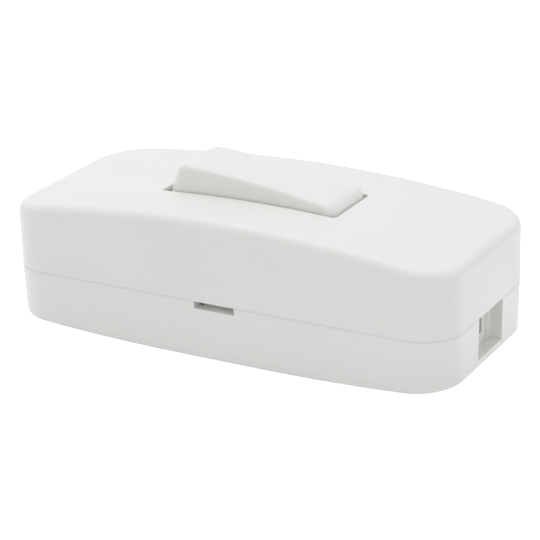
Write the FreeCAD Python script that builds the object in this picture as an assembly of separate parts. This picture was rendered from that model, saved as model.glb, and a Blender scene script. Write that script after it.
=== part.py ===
import FreeCAD, Part
import math
import os

# In-line cord switch, two poles, rocker operated. Millimetres, +Z up, +X towards the load end.
# Origin: middle of the outline, on the surface that the flat land of the base rests on.
# "front" is the -Y side and "rear" the +Y side; the supply end is -X and the load end +X.

# Outline of the closed housing
length = 80.0
width = 34.7
corner_radius = 6.9
parting_height = 9.75
centre_height = 23.6
top_drop = 3.35
bottom_rise = 1.4
land_half_length = 7.0
base_draft = 1.0
cover_draft = 0.0
top_edge_radius = 1.7
bottom_edge_chamfer = 0.45

# Walls of the two mouldings
side_wall = 1.9
end_wall = 2.1
floor_wall = 1.5
roof_wall = 2.0
lip_gap = 0.1
lip_wall = 0.9
lip_height = 1.2
lip_root = 1.8

# Cable inlets, one in each end wall of the base
inlet_width = 9.3
inlet_sill = 2.7
throat_width = 7.0
throat_depth = 0.4
inlet_pocket_depth = 1.3
inlet_pocket_half = 6.3
inlet_gate_wall = 1.0
inlet_gate_rise = 0.75
inlet_boss_wall = 1.2
inlet_boss_drop = 0.5
cord_tooth_height = 0.8
cord_tooth_width = 0.7

# Snap arms of the cover and the release slots beside them
slot_length = 7.3
slot_height = 1.2
arm_width = 6.4
arm_wall = 1.3
arm_gap = 0.25
arm_side_gap = 0.4
arm_root_height = 4.0
arm_foot_height = 4.6
barb_reach = 0.7
barb_height = 1.2
barb_lead = 0.7
barb_gap = 0.15

# Rocker and the opening it stands in
opening_end_room = 1.75
opening_width = 12.0
opening_corner = 0.6
opening_skin = 0.7
opening_relief = 1.6
rocker_pivot_height = 16.0
rocker_half_tilt = 7.1
rocker_length = 28.3
rocker_end_lean = 12.0
rocker_side_gap = 0.25
rocker_rise = 10.85
rocker_crown_radius = 165.0
rocker_end_radius = 2.0
rocker_edge_radius = 0.9
rocker_wall = 1.5
rocker_roof = 1.8
rocker_lip_reach = 4.05
rocker_lip_wall = 0.9
rocker_stop_gap = 0.3
trunnion_radius = 1.5
trunnion_reach = 2.0
running_gap = 0.05
hub_half_length = 4.2
hub_drop = 2.4
rail_wall = 1.0
rail_depth = 2.6
cheek_wall = 2.0
cheek_half_length = 4.4
cheek_drop = 2.8
snap_throat = 2.5

# Spring plungers carried by the rocker
pole_offset = 3.0
tower_radius = 2.4
tower_drop = 3.6
plunger_radius = 1.6
plunger_bore_gap = 0.1
plunger_tip_radius = 1.0
plunger_dome_radius = 1.2
plunger_neck_length = 2.2
plunger_guide = 4.1
spring_wire = 0.36
spring_radius = 1.2
spring_turns = 4
spring_steps = 10
spring_space = 6.0
tip_gap = 0.05

# Contact blades, strips and contacts
deck_height = 2.0
strip_thickness = 0.8
strip_width = 3.2
bend_radius = 0.4
blade_thickness = 0.8
blade_half_length = 11.0
blade_half_tilt = 7.0
blade_corner = 0.7
groove_depth = 0.35
groove_half_angle = 50.0
knife_gap = 0.09
knife_half_angle = 30.0
knife_flat = 0.06
waist_width = 2.0
waist_gap = 0.15
horn_height = 0.75
horn_end_gap = 0.25
contact_arm = 9.4
contact_half = 1.3
contact_dome_radius = 3.0
moving_contact_height = 0.7
fixed_contact_height = 0.6
contact_gap = 0.05
stop_gap = 0.06
load_joggle_start = 12.4
joggle_overlap = 3.4
divider_wall = 1.2
divider_height = 8.6
lane_wall = 1.0
lane_gap = 0.6
lane_half_length = 12.5
lane_height = 7.4
gusset_wall = 1.0
gusset_height = 5.0

# Terminals
terminal_offset = 3.6
terminal_length = 6.0
terminal_width = 4.6
terminal_height = 6.5
terminal_edge = 0.4
wire_hole_half = 1.5
wire_hole_height = 2.5
terminal_gap = 0.3
nest_wall = 1.0
nest_height = 3.4
nest_margin = 0.6
hold_down_wall = 0.9
hold_down_gap = 0.3

# Screws
terminal_thread_radius = 1.5
terminal_screw_dip = 0.3
terminal_screw_lift = 1.2
clamp_thread_radius = 1.3
clamp_screw_head_radius = 2.6
clamp_screw_head = 1.7
clamp_screw_length = 7.0
screw_gap = 0.05
screw_sides = 12
slot_width = 0.6
slot_depth = 0.8

# Cord clamps
clamp_end_room = 6.9
clamp_width = 5.6
clamp_half_span = 12.2
clamp_thickness = 2.0
clamp_screw_offset = 9.3
clamp_hole_gap = 0.35
clamp_passage_radius = 3.6
clamp_ridge = 0.5
clamp_ridge_width = 0.8
clamp_ridge_half = 1.6
clamp_corner = 1.2
boss_half = 2.7
boss_height = 6.8
boss_floor = 1.2

# Sizes worked out from those above
half_length = length / 2.0
half_width = width / 2.0
top_radius = (half_length ** 2 + top_drop ** 2) / (2.0 * top_drop)
curved_length = half_length - land_half_length
bottom_radius = (curved_length ** 2 + bottom_rise ** 2) / (2.0 * bottom_rise)
inner_half_width = half_width - side_wall
inner_half_length = half_length - end_wall
opening_half_width = opening_width / 2.0
rocker_half_width = opening_half_width - rocker_side_gap
rocker_half_length = rocker_length / 2.0
opening_half_length = rocker_half_length + opening_end_room
lip_half_length = rocker_half_length + rocker_lip_reach
rocker_sine = math.sin(math.radians(rocker_half_tilt))
rocker_cosine = math.cos(math.radians(rocker_half_tilt))
blade_sine = math.sin(math.radians(blade_half_tilt))
blade_cosine = math.cos(math.radians(blade_half_tilt))
closed_contact_height = deck_height + strip_thickness + fixed_contact_height + contact_gap
blade_pivot_height = (closed_contact_height + contact_arm * blade_sine
                      + (groove_depth + moving_contact_height) * blade_cosine
                      + contact_dome_radius * (1.0 - blade_cosine))
blade_top = blade_pivot_height + blade_thickness - groove_depth
plunger_drop = rocker_pivot_height - blade_top - tip_gap
stop_height = (blade_pivot_height - (blade_half_length - bend_radius) * blade_sine
               - groove_depth * blade_cosine - stop_gap)
upper_deck_height = stop_height - strip_thickness
supply_joggle_start = blade_half_length - joggle_overlap
roof_at_lip = centre_height - top_radius + math.sqrt((top_radius - roof_wall) ** 2 - lip_half_length ** 2)
lip_top_height = roof_at_lip - rocker_stop_gap - rocker_pivot_height
rocker_skirt = (lip_top_height - lip_half_length * rocker_sine) / rocker_cosine - rocker_lip_wall
terminal_seat = upper_deck_height + strip_thickness
supply_deck_step = supply_joggle_start + (upper_deck_height - deck_height) + bend_radius
load_deck_step = load_joggle_start + (upper_deck_height - deck_height) + bend_radius
clamp_distance = inner_half_length - clamp_end_room
terminal_distance = (load_deck_step + clamp_distance - clamp_width / 2.0) / 2.0
big = 200.0
cut_margin = 1.0

X = FreeCAD.Vector(1, 0, 0)
Y = FreeCAD.Vector(0, 1, 0)
Z = FreeCAD.Vector(0, 0, 1)
ORIGIN = FreeCAD.Vector(0, 0, 0)


def at(x, y, z):
    return FreeCAD.Vector(x, y, z)


def box(x_low, x_high, y_low, y_high, z_low, z_high):
    """A block between two corners."""
    return Part.makeBox(x_high - x_low, y_high - y_low, z_high - z_low, at(x_low, y_low, z_low))


def faceted_bar(x, y, z_low, z_high, radius):
    """An upright bar with flat sides in place of a round one, for screws and their holes."""
    ring = []
    for side in range(screw_sides):
        angle = 2.0 * math.pi * side / screw_sides
        ring.append(at(x + radius * math.cos(angle), y + radius * math.sin(angle), z_low))
    return Part.Face(Part.makePolygon(ring + ring[:1])).extrude(Z * (z_high - z_low))


def joined(shapes):
    """Shapes fused to one clean solid."""
    first, rest = shapes[0], shapes[1:]
    return first.fuse(rest).removeSplitter()


def rounded_rectangle(half_x, half_y, radius, z):
    """A rectangle with round corners, as a wire at height z."""
    cx = half_x - radius
    cy = half_y - radius
    edges = []
    corners = [(cx, cy), (-cx, cy), (-cx, -cy), (cx, -cy)]
    for index, (x, y) in enumerate(corners):
        circle = Part.Circle(at(x, y, z), Z, radius)
        turn = math.pi / 2.0 * (index + 1)
        edges.append(Part.Arc(circle, turn - math.pi / 2.0, turn).toShape())
        nx, ny = corners[(index + 1) % 4]
        step = at(radius * math.cos(turn), radius * math.sin(turn), 0)
        edges.append(Part.makeLine(at(x, y, z) + step, at(nx, ny, z) + step))
    return Part.Wire(edges)


def drafted_corners(z, inset):
    """The four corners of the housing's plan at height z, drafted away from the parting line."""
    draft = base_draft if z < parting_height else cover_draft
    lean = inset + abs(z - parting_height) * math.tan(math.radians(draft))
    end_lean = lean if inset == 0 else lean + end_wall - side_wall
    x = half_length - end_lean
    y = half_width - lean
    return [at(x, y, z), at(-x, y, z), at(-x, -y, z), at(x, -y, z)]


def housing_block(z_low, z_high, inset):
    """A drafted block with the housing's outline and round corners, inset by a wall."""
    low = drafted_corners(z_low, inset)
    high = drafted_corners(z_high, inset)
    rings = [low[::-1], high]
    for index in range(4):
        after = (index + 1) % 4
        rings.append([low[index], low[after], high[after], high[index]])
    faces = [Part.Face(Part.makePolygon(ring + ring[:1])) for ring in rings]
    block = Part.makeSolid(Part.makeShell(faces))
    uprights = [e for e in block.Edges if abs(e.tangentAt(e.FirstParameter).z) > 0.9]
    return block.makeFillet(corner_radius - inset, uprights)


def housing_ring(z_low, z_high, outer_inset, inner_inset):
    """A straight ring that follows the housing's outline."""
    def prism(inset):
        lean = inset + end_wall - side_wall
        wire = rounded_rectangle(half_length - lean, half_width - inset, corner_radius - inset, z_low)
        return Part.Face(wire).extrude(Z * (z_high - z_low))
    return prism(outer_inset).cut(prism(inner_inset))


def under_arch(inset):
    """Everything under the arched top, or under the same arch lowered by a wall."""
    radius = top_radius - inset
    centre = at(0, -width, centre_height - top_radius)
    return Part.makeCylinder(radius, 2 * width, centre, Y)


def over_bottom(inset):
    """Everything over the curved bottom: a flat land that runs into an arc at each end."""
    radius = bottom_radius - inset

    def on_arc(side, share):
        angle = share * 1.1 * math.asin(curved_length / bottom_radius)
        x = side * (land_half_length + radius * math.sin(angle))
        return at(x, -width, bottom_radius - radius * math.cos(angle))

    right = Part.Arc(on_arc(1, 0), on_arc(1, 0.5), on_arc(1, 1)).toShape()
    left = Part.Arc(on_arc(-1, 1), on_arc(-1, 0.5), on_arc(-1, 0)).toShape()
    land = Part.makeLine(on_arc(-1, 0), on_arc(1, 0))
    right_top = on_arc(1, 1)
    right_top.z = big
    left_top = on_arc(-1, 1)
    left_top.z = big
    sides = Part.makePolygon([on_arc(1, 1), right_top, left_top, on_arc(-1, 1)])
    wire = Part.Wire([left, land, right] + sides.Edges)
    return Part.Face(wire).extrude(Y * (2 * width))


def rim_edges(solid, is_rim_face):
    """The edges round a group of faces, leaving out those between two of them."""
    counts = {}
    for face in solid.Faces:
        if is_rim_face(face):
            for edge in face.Edges:
                key = edge.hashCode()
                counts.setdefault(key, []).append(edge)
    return [edges[0] for edges in counts.values() if len(edges) == 1]


def has_long_radius(face):
    return isinstance(face.Surface, Part.Cylinder) and face.Surface.Radius > length


def faces_down(face):
    return face.normalAt(0, 0).z < -0.99 and face.BoundBox.ZMax < parting_height / 2.0


def base_shell():
    """The lower moulding: tray, rim lip, inlets, contact deck, nests and screw bosses."""
    outside = housing_block(0, parting_height, 0).common(over_bottom(0))
    bottom_rim = rim_edges(outside, lambda f: has_long_radius(f) or faces_down(f))
    outside = outside.makeChamfer(bottom_edge_chamfer, bottom_rim)
    hollow = housing_block(0, parting_height, side_wall).cut(floor_steps())
    tray = outside.cut(hollow)
    inside = housing_block(0, parting_height, side_wall / 2.0).common(over_bottom(floor_wall / 2.0))

    lip_inset = side_wall + lip_gap
    thick_rim = housing_ring(parting_height - lip_root, parting_height,
                             side_wall / 2.0, lip_inset + lip_wall)
    lip = housing_ring(parting_height - lip_root, parting_height + lip_height,
                       lip_inset, lip_inset + lip_wall)
    pieces = [tray, thick_rim, lip]
    features = contact_deck() + terminal_nests() + clamp_seats() + inlet_bosses()
    pieces += [feature.common(inside) for feature in features]
    shell = joined(pieces)

    cuts = []
    for side in (-1, 1):
        cuts += inlet_cuts(side)
        cuts += release_cuts(side)
    cuts += screw_holes()
    return shell.cut(cuts).removeSplitter()


def floor_steps():
    """The flat floor of the tray, which steps up to the inlets' sills near both ends."""
    deck_end = terminal_distance + terminal_length / 2.0 + nest_margin + nest_wall
    steps = [box(-half_length, half_length, -half_width, half_width, 0, floor_wall)]
    for end in (-1, 1):
        low, high = sorted((end * deck_end, end * half_length))
        steps.append(box(low, high, -half_width, half_width, 0, inlet_sill))
    return steps


def contact_deck():
    """The flat decks that the strips lie on, with the walls that keep the poles apart."""
    deck_end = terminal_distance + terminal_length / 2.0 + nest_margin + nest_wall
    deck_side = terminal_offset + terminal_width / 2.0 + terminal_gap + nest_wall
    lane_inner = pole_offset + strip_width / 2.0 + lane_gap
    lane_outer = lane_inner + lane_wall
    parts = [
        box(-deck_end, deck_end, -deck_side, deck_side, 0, deck_height),
        box(-deck_end, -supply_deck_step, -deck_side, deck_side, 0, upper_deck_height),
        box(load_deck_step, deck_end, -deck_side, deck_side, 0, upper_deck_height),
        box(-deck_end, deck_end, -divider_wall / 2.0, divider_wall / 2.0, 0, divider_height),
    ]
    for side in (-1, 1):
        low, high = sorted((side * lane_inner, side * lane_outer))
        parts.append(box(-lane_half_length, lane_half_length, low, high, 0, lane_height))
        low, high = sorted((side * lane_outer, side * half_width))
        for end in (-1, 1):
            x = end * lane_half_length - (gusset_wall if end > 0 else 0)
            parts.append(box(x, x + gusset_wall, low, high, 0, gusset_height))
    return parts


def terminal_nests():
    """Low walls that hold each terminal block in place on the deck."""
    parts = []
    inner = terminal_length / 2.0 + terminal_gap
    outer = inner + nest_wall
    side_inner = terminal_offset + terminal_width / 2.0 + terminal_gap
    side_outer = side_inner + nest_wall
    top = upper_deck_height + nest_height
    for end in (-1, 1):
        x = end * terminal_distance
        for side in (-1, 1):
            low, high = sorted((side * side_inner, side * side_outer))
            parts.append(box(x - outer, x + outer, low, high, 0, top))
            corner = side_inner - nest_wall
            low, high = sorted((side * corner, side * side_outer))
            parts.append(box(x - outer, x - inner, low, high, 0, top))
            parts.append(box(x + inner, x + outer, low, high, 0, top))
    return parts


def clamp_seats():
    """Screw bosses and cross teeth under the cord clamps."""
    parts = []
    tooth_half = throat_width / 2.0
    for end in (-1, 1):
        for side in (-1, 1):
            x = end * clamp_distance
            y = side * clamp_screw_offset
            parts.append(box(x - boss_half, x + boss_half, y - boss_half, y + boss_half, 0, boss_height))
        for shift in (-0.5, 0.5):
            x = end * clamp_distance + shift * (clamp_width - cord_tooth_width)
            top = inlet_sill + cord_tooth_height
            parts.append(box(x - cord_tooth_width / 2.0, x + cord_tooth_width / 2.0,
                             -tooth_half, tooth_half, 0, top))
    return parts


def inlet_bosses():
    """Thick frames behind the two inlets."""
    half = inlet_pocket_half + inlet_boss_wall
    reach = inner_half_length - throat_depth - inlet_pocket_depth - inlet_gate_wall
    top = parting_height - inlet_boss_drop
    parts = []
    for end in (-1, 1):
        low, high = sorted((end * reach, end * half_length))
        parts.append(box(low, high, -half, half, 0, top))
    return parts


def inlet_cuts(end):
    """The stepped notch of one inlet: wide mouth, narrow throat, wide pocket and a gate with a sill."""
    throat_face = inner_half_length - throat_depth
    pocket_face = throat_face - inlet_pocket_depth
    mouth = inlet_width / 2.0
    steps = [(inner_half_length, length, mouth, inlet_sill),
             (throat_face, inner_half_length, throat_width / 2.0, inlet_sill),
             (pocket_face, throat_face, inlet_pocket_half, inlet_sill),
             (pocket_face - inlet_gate_wall, pocket_face, mouth, inlet_sill + inlet_gate_rise)]
    parts = []
    for near, far, half, sill in steps:
        low, high = sorted((end * near, end * far))
        parts.append(box(low, high, -half, half, sill, big))
    return parts


def release_cuts(side):
    """Release slot, passage for the snap arm, and the pocket that its barb catches in."""
    half = slot_length / 2.0
    passage_half = arm_width / 2.0 + arm_side_gap
    low, high = sorted((side * (inner_half_width - lip_gap), side * (half_width + cut_margin)))
    slot = box(-half, half, low, high, parting_height - slot_height, parting_height + cut_margin)
    low, high = sorted((side * (inner_half_width - 2 * lip_wall), side * inner_half_width))
    passage = box(-passage_half, passage_half, low, high,
                  arm_foot_height - cut_margin, parting_height + 2 * lip_height)
    barb_outer = inner_half_width - arm_gap + barb_reach + barb_gap
    low, high = sorted((side * (inner_half_width - cut_margin), side * barb_outer))
    pocket_low = arm_foot_height - 2 * barb_gap
    pocket_high = arm_foot_height + barb_height + barb_gap
    pocket = box(-passage_half, passage_half, low, high, pocket_low, pocket_high)
    return [slot, passage, pocket]


def screw_holes():
    """Blind holes for the clamp screws."""
    parts = []
    radius = clamp_thread_radius + screw_gap
    for end in (-1, 1):
        for side in (-1, 1):
            parts.append(faceted_bar(end * clamp_distance, side * clamp_screw_offset,
                                     boss_floor, big, radius))
    return parts


def upper_cover():
    """The upper moulding: arched shell, rocker opening, bearing cheeks and snap arms."""
    tall = centre_height + cut_margin
    block = housing_block(parting_height, tall, 0)
    outside = block.common(under_arch(0))
    top_rim = rim_edges(outside, has_long_radius)
    outside = outside.makeFillet(top_edge_radius, top_rim)
    hollow = housing_block(parting_height, tall, side_wall).common(under_arch(roof_wall))
    shell = outside.cut(hollow)

    ceiling = under_arch(roof_wall / 2.0)
    room = housing_block(parting_height, tall, side_wall / 2.0).common(ceiling)
    features = opening_rails() + bearing_cheeks() + hold_downs()
    pieces = [shell] + [feature.common(ceiling) for feature in features]
    pieces += [snap_arm(side, room) for side in (-1, 1)]
    cover = joined(pieces)

    opening = rounded_rectangle(opening_half_length, opening_half_width, opening_corner, 0)
    cuts = [Part.Face(opening).extrude(Z * big), opening_relief_room()]
    for side in (-1, 1):
        cuts += trunnion_cuts(side)
    return cover.cut(cuts).removeSplitter()


def opening_relief_room():
    """Room under the roof where it is thinned to a skin at both ends of the opening."""
    reach = opening_half_length + opening_relief
    room = box(-reach, reach, -opening_half_width, opening_half_width, parting_height, big)
    return room.common(under_arch(opening_skin))


def opening_rails():
    """Two short rails under the roof, along the opening's long sides."""
    edge_height = centre_height - top_radius + math.sqrt(top_radius ** 2 - opening_half_length ** 2)
    low_z = edge_height - roof_wall - rail_depth
    parts = []
    for side in (-1, 1):
        low, high = sorted((side * opening_half_width, side * (opening_half_width + rail_wall)))
        parts.append(box(-opening_half_length, opening_half_length, low, high, low_z, big))
    return parts


def bearing_cheeks():
    """The two cheeks that carry the rocker's trunnions."""
    parts = []
    low_z = rocker_pivot_height - cheek_drop
    for side in (-1, 1):
        low, high = sorted((side * opening_half_width, side * (opening_half_width + cheek_wall)))
        parts.append(box(-cheek_half_length, cheek_half_length, low, high, low_z, big))
    return parts


def trunnion_cuts(side):
    """A bearing hole with a narrower throat below it, so the trunnion snaps in."""
    start = at(0, side * opening_half_width, rocker_pivot_height)
    hole = Part.makeCylinder(trunnion_radius + running_gap, cheek_wall, start, Y * side)
    low, high = sorted((side * opening_half_width, side * (opening_half_width + cheek_wall)))
    throat = box(-snap_throat / 2.0, snap_throat / 2.0, low, high,
                 rocker_pivot_height - 2 * cheek_drop, rocker_pivot_height)
    return [hole, throat]


def hold_downs():
    """Ribs under the roof that keep the terminal blocks down."""
    parts = []
    half = terminal_offset + terminal_width / 2.0
    low_z = terminal_seat + terminal_height + hold_down_gap
    outer = terminal_distance + terminal_length / 2.0
    for end in (-1, 1):
        low, high = sorted((end * (outer - hold_down_wall), end * outer))
        parts.append(box(low, high, -half, half, low_z, big))
    return parts


def snap_arm(side, room):
    """One snap arm with its barb, rooted on the cover's side wall."""
    outer = inner_half_width - arm_gap
    inner = outer - arm_wall
    half = arm_width / 2.0
    root_low = parting_height + lip_height + arm_gap
    points = [(inner, arm_foot_height), (outer, arm_foot_height),
              (outer + barb_reach, arm_foot_height + barb_lead),
              (outer + barb_reach, arm_foot_height + barb_height),
              (outer, arm_foot_height + barb_height),
              (outer, root_low), (half_width, root_low),
              (half_width, root_low + arm_root_height), (inner, root_low + arm_root_height)]
    vectors = [at(-half, side * y, z) for y, z in points + points[:1]]
    arm = Part.Face(Part.makePolygon(vectors)).extrude(X * arm_width)
    below = box(-half, half, -half_width, half_width, 0, root_low)
    return joined([arm.common(below), arm.common(room)])


def rocker_frame(shape):
    """Turns a shape from the rocker's own frame to where it stands, load end pressed down."""
    shape.rotate(ORIGIN, Y, rocker_half_tilt)
    shape.translate(at(0, 0, rocker_pivot_height))
    return shape


def rocker_end_at(z, inset):
    """Distance from the pivot to a leaning end of the rocker, inset by a wall, at height z."""
    lean = math.radians(rocker_end_lean)
    return rocker_half_length + (rocker_rise - z) * math.tan(lean) - inset / math.cos(lean)


def rocker_block(half_y, end_inset, top_inset, bottom, end_radius):
    """The rocker's side profile, ends leaning in towards its crowned top, centred on the pivot."""
    radius = rocker_crown_radius - top_inset
    centre_z = rocker_rise - rocker_crown_radius
    crown = Part.makeCylinder(radius, 2 * half_y, at(0, -half_y, centre_z), Y)
    top = rocker_rise + cut_margin
    low, high = rocker_end_at(bottom, end_inset), rocker_end_at(top, end_inset)
    outline = [at(-low, -half_y, bottom), at(low, -half_y, bottom), at(high, -half_y, top),
               at(-high, -half_y, top), at(-low, -half_y, bottom)]
    block = Part.Face(Part.makePolygon(outline)).extrude(Y * (2 * half_y)).common(crown)
    ends = [e for e in block.Edges
            if abs(e.tangentAt(e.FirstParameter).y) > 0.99 and e.BoundBox.ZMin > rocker_rise / 2.0]
    return block.makeFillet(end_radius, ends)


def rocker():
    """The rocker: crowned shell with trunnions and two spring towers."""
    outside = rocker_block(rocker_half_width, 0, 0, rocker_skirt, rocker_end_radius)
    rim = [e for e in outside.Edges if e.BoundBox.ZMin > rocker_skirt + 0.01
           and abs(abs(e.CenterOfMass.y) - rocker_half_width) < 0.01]
    uprights = [e for e in outside.Edges
                if abs(e.tangentAt(e.FirstParameter).z) > 0.9 and e.BoundBox.ZMin < rocker_skirt + 0.01]
    outside = outside.makeFillet(rocker_edge_radius, rim + uprights)
    hollow = rocker_block(rocker_half_width - rocker_wall, rocker_wall, rocker_roof,
                          rocker_skirt, rocker_edge_radius)
    shell = outside.cut(hollow)

    stop_lip = box(-lip_half_length, lip_half_length, -rocker_half_width, rocker_half_width,
                   rocker_skirt, rocker_skirt + rocker_lip_wall)
    middle = rocker_end_at(rocker_skirt + rocker_lip_wall, rocker_wall)
    inside = box(-middle, middle, -rocker_half_width, rocker_half_width, -big, big)
    pieces = [shell, stop_lip.cut(inside)]
    tower_half = pole_offset + tower_radius
    pieces.append(box(-tower_radius, tower_radius, -tower_half, tower_half,
                      -tower_drop, rocker_rise - rocker_roof))
    for side in (-1, 1):
        low, high = sorted((side * (rocker_half_width - rocker_wall), side * rocker_half_width))
        pieces.append(box(-hub_half_length, hub_half_length, low, high,
                          -hub_drop, rocker_skirt + rocker_wall))
        pieces.append(Part.makeCylinder(trunnion_radius, trunnion_reach + rocker_wall,
                                        at(0, side * (rocker_half_width - rocker_wall), 0), Y * side))
    solid = joined(pieces)
    bore_top = plunger_top() + spring_space
    bores = [Part.makeCylinder(plunger_radius + plunger_bore_gap, tower_drop + bore_top,
                               at(0, side * pole_offset, -tower_drop)) for side in (-1, 1)]
    return rocker_frame(solid.cut(bores).removeSplitter())


def plunger_top():
    """Height of a plunger's shoulder in the rocker's frame."""
    return plunger_guide - tower_drop


def plunger(side):
    """A spring plunger: domed tip, neck and guided body."""
    y = side * pole_offset
    tip_z = -plunger_drop
    neck_top = tip_z + plunger_neck_length
    neck = Part.makeCylinder(plunger_tip_radius, plunger_neck_length, at(0, y, tip_z))
    dome = Part.makeCylinder(plunger_dome_radius, 2 * plunger_tip_radius,
                             at(0, y - plunger_tip_radius, tip_z + plunger_dome_radius), Y)
    waist = box(-big, big, -big, big, tip_z + plunger_dome_radius, big)
    body = Part.makeCylinder(plunger_radius, plunger_top() - neck_top, at(0, y, neck_top))
    return rocker_frame(joined([neck.cut(waist).common(dome), neck.common(waist), body]))


def spring(side):
    """A compression spring of square wire between the plunger's shoulder and the end of its bore."""
    half = spring_wire / 2.0
    low = plunger_top() + half
    high = plunger_top() + spring_space - half
    count = spring_turns * spring_steps
    section = [(-half, -half), (half, -half), (half, half), (-half, half)]
    rings = []
    for step in range(count + 1):
        angle = 2.0 * math.pi * step / spring_steps
        z = low + (high - low) * step / count
        rings.append([at((spring_radius + out) * math.cos(angle),
                         (spring_radius + out) * math.sin(angle), z + up) for out, up in section])
    facets = [rings[0][::-1], rings[-1]]
    for near, far in zip(rings, rings[1:]):
        for corner in range(4):
            after = (corner + 1) % 4
            facets.append([near[corner], near[after], far[after]])
            facets.append([near[corner], far[after], far[corner]])
    faces = [Part.Face(Part.makePolygon(facet + facet[:1])) for facet in facets]
    coil = Part.makeSolid(Part.makeShell(faces))
    coil.translate(at(0, side * pole_offset, 0))
    return rocker_frame(coil)


def blade_frame(shape, side):
    """Turns a blade's shape from its own frame to its open position on the knife edge."""
    shape.rotate(ORIGIN, Y, -blade_half_tilt)
    shape.translate(at(0, side * pole_offset, blade_pivot_height))
    return shape


def blade(side):
    """A see-saw contact blade, waisted at the horns and grooved underneath for the knife edge."""
    half = strip_width / 2.0
    low = -groove_depth
    high = blade_thickness - groove_depth
    plate = box(-blade_half_length, blade_half_length, -half, half, low, high)
    uprights = [e for e in plate.Edges if abs(e.tangentAt(e.FirstParameter).z) > 0.99]
    plate = plate.makeChamfer(blade_corner, uprights)
    spread = groove_depth * math.tan(math.radians(groove_half_angle))
    groove = Part.Face(Part.makePolygon([at(-spread, -half, low), at(0, -half, 0),
                                         at(spread, -half, low), at(-spread, -half, low)]))
    cuts = [groove.extrude(Y * strip_width)]
    notch_half = strip_thickness / 2.0 + horn_end_gap
    for edge in (-1, 1):
        y_low, y_high = sorted((edge * waist_width / 2.0, edge * strip_width))
        cuts.append(box(-notch_half, notch_half, y_low, y_high, low, high))
    return blade_frame(plate.cut(cuts), side)


def moving_contact(side):
    """The contact brazed under a blade's load arm: a square block with a crowned face."""
    low = -groove_depth - moving_contact_height
    block = box(contact_arm - contact_half, contact_arm + contact_half, -contact_half, contact_half,
                low, -groove_depth)
    crown = Part.makeCylinder(contact_dome_radius, 2 * contact_half,
                              at(contact_arm, -contact_half, low + contact_dome_radius), Y)
    return blade_frame(block.common(crown), side)


def fixed_contact(side):
    """The flat square contact brazed on top of a contact strip."""
    y = side * pole_offset
    low = deck_height + strip_thickness
    return box(contact_arm - contact_half, contact_arm + contact_half, y - contact_half, y + contact_half,
               low, low + fixed_contact_height)


def bent_strip(points, side):
    """A strip bent along points (x, z) of its lower face, centred on a pole."""
    y = side * pole_offset - strip_width / 2.0
    upper = offset_points(points, strip_thickness)
    ring = points + upper[::-1] + points[:1]
    face = Part.Face(Part.makePolygon([at(x, y, z) for x, z in ring]))
    solid = face.extrude(Y * strip_width)
    for path, radius in ((points, bend_radius), (upper, bend_radius)):
        for x, z in path[1:-1]:
            edge = [e for e in solid.Edges if e.Curve.TypeId == "Part::GeomLine"
                    and abs(e.CenterOfMass.x - x) < 0.01 and abs(e.CenterOfMass.z - z) < 0.01]
            solid = solid.makeFillet(radius, edge)
    return solid


def offset_points(points, distance):
    """The path on the other face of a strip, mitred at its bends."""
    moved = []
    for index, (x, z) in enumerate(points):
        normals = []
        for a, b in ((index - 1, index), (index, index + 1)):
            if a >= 0 and b < len(points):
                dx = points[b][0] - points[a][0]
                dz = points[b][1] - points[a][1]
                run = math.hypot(dx, dz)
                normals.append((-dz / run, dx / run))
        nx = sum(n[0] for n in normals) / len(normals)
        nz = sum(n[1] for n in normals) / len(normals)
        square = nx * nx + nz * nz
        moved.append((x + distance * nx / square, z + distance * nz / square))
    return moved


def fulcrum_strip(side):
    """The supply strip: terminal end, joggle that stops the blade, and the upright knife edge."""
    rise = upper_deck_height - deck_height
    half = strip_thickness / 2.0
    start = -(terminal_distance + terminal_length / 2.0)
    points = [(start, upper_deck_height), (-supply_joggle_start - rise, upper_deck_height),
              (-supply_joggle_start, deck_height), (half, deck_height), (half, blade_pivot_height)]
    strip = bent_strip(points, side)

    y = side * pole_offset
    inner = waist_width / 2.0 + waist_gap
    top = blade_top + horn_height
    horns = []
    for edge in (-1, 1):
        low, high = sorted((y + edge * inner, y + edge * strip_width / 2.0))
        horns.append(box(-half, half, low, high, blade_pivot_height - cut_margin, top))
    knife_top = blade_pivot_height - knife_gap
    slope = math.tan(math.radians(knife_half_angle))
    shoulder = knife_top - (half - knife_flat / 2.0) / slope
    flat = knife_flat / 2.0
    outline = [(-half, shoulder), (-flat, knife_top), (flat, knife_top), (half, shoulder), (-half, shoulder)]
    wedge = Part.Face(Part.makePolygon([at(x, y - inner, z) for x, z in outline])).extrude(Y * (2 * inner))
    above = box(-half - cut_margin, half + cut_margin, y - strip_width, y + strip_width, shoulder, big)
    return joined([strip.cut(above), wedge] + [h.common(above) for h in horns])


def contact_strip(side):
    """The load strip: it carries the fixed contact and rises to the terminal."""
    rise = upper_deck_height - deck_height
    start = contact_arm - contact_half - bend_radius
    end = terminal_distance + terminal_length / 2.0
    points = [(start, deck_height), (load_joggle_start, deck_height),
              (load_joggle_start + rise, upper_deck_height), (end, upper_deck_height)]
    return bent_strip(points, side)


def terminal_block(end, side):
    """A box terminal: a brass block with a square wire opening and a threaded hole from the top."""
    x = end * terminal_distance
    y = side * terminal_offset
    block = box(x - terminal_length / 2.0, x + terminal_length / 2.0, y - terminal_width / 2.0,
                y + terminal_width / 2.0, terminal_seat, terminal_seat + terminal_height)
    block = block.makeChamfer(terminal_edge, [e for e in block.Edges
                                              if abs(e.tangentAt(e.FirstParameter).z) > 0.99])
    wire_z = terminal_seat + wire_hole_height
    wire_hole = box(x - terminal_length / 2.0, x + terminal_length / 2.0,
                    y - wire_hole_half, y + wire_hole_half, wire_z - wire_hole_half, wire_z + wire_hole_half)
    thread = faceted_bar(x, y, wire_z, wire_z + terminal_height, terminal_thread_radius)
    return block.cut([wire_hole, thread])


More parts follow.
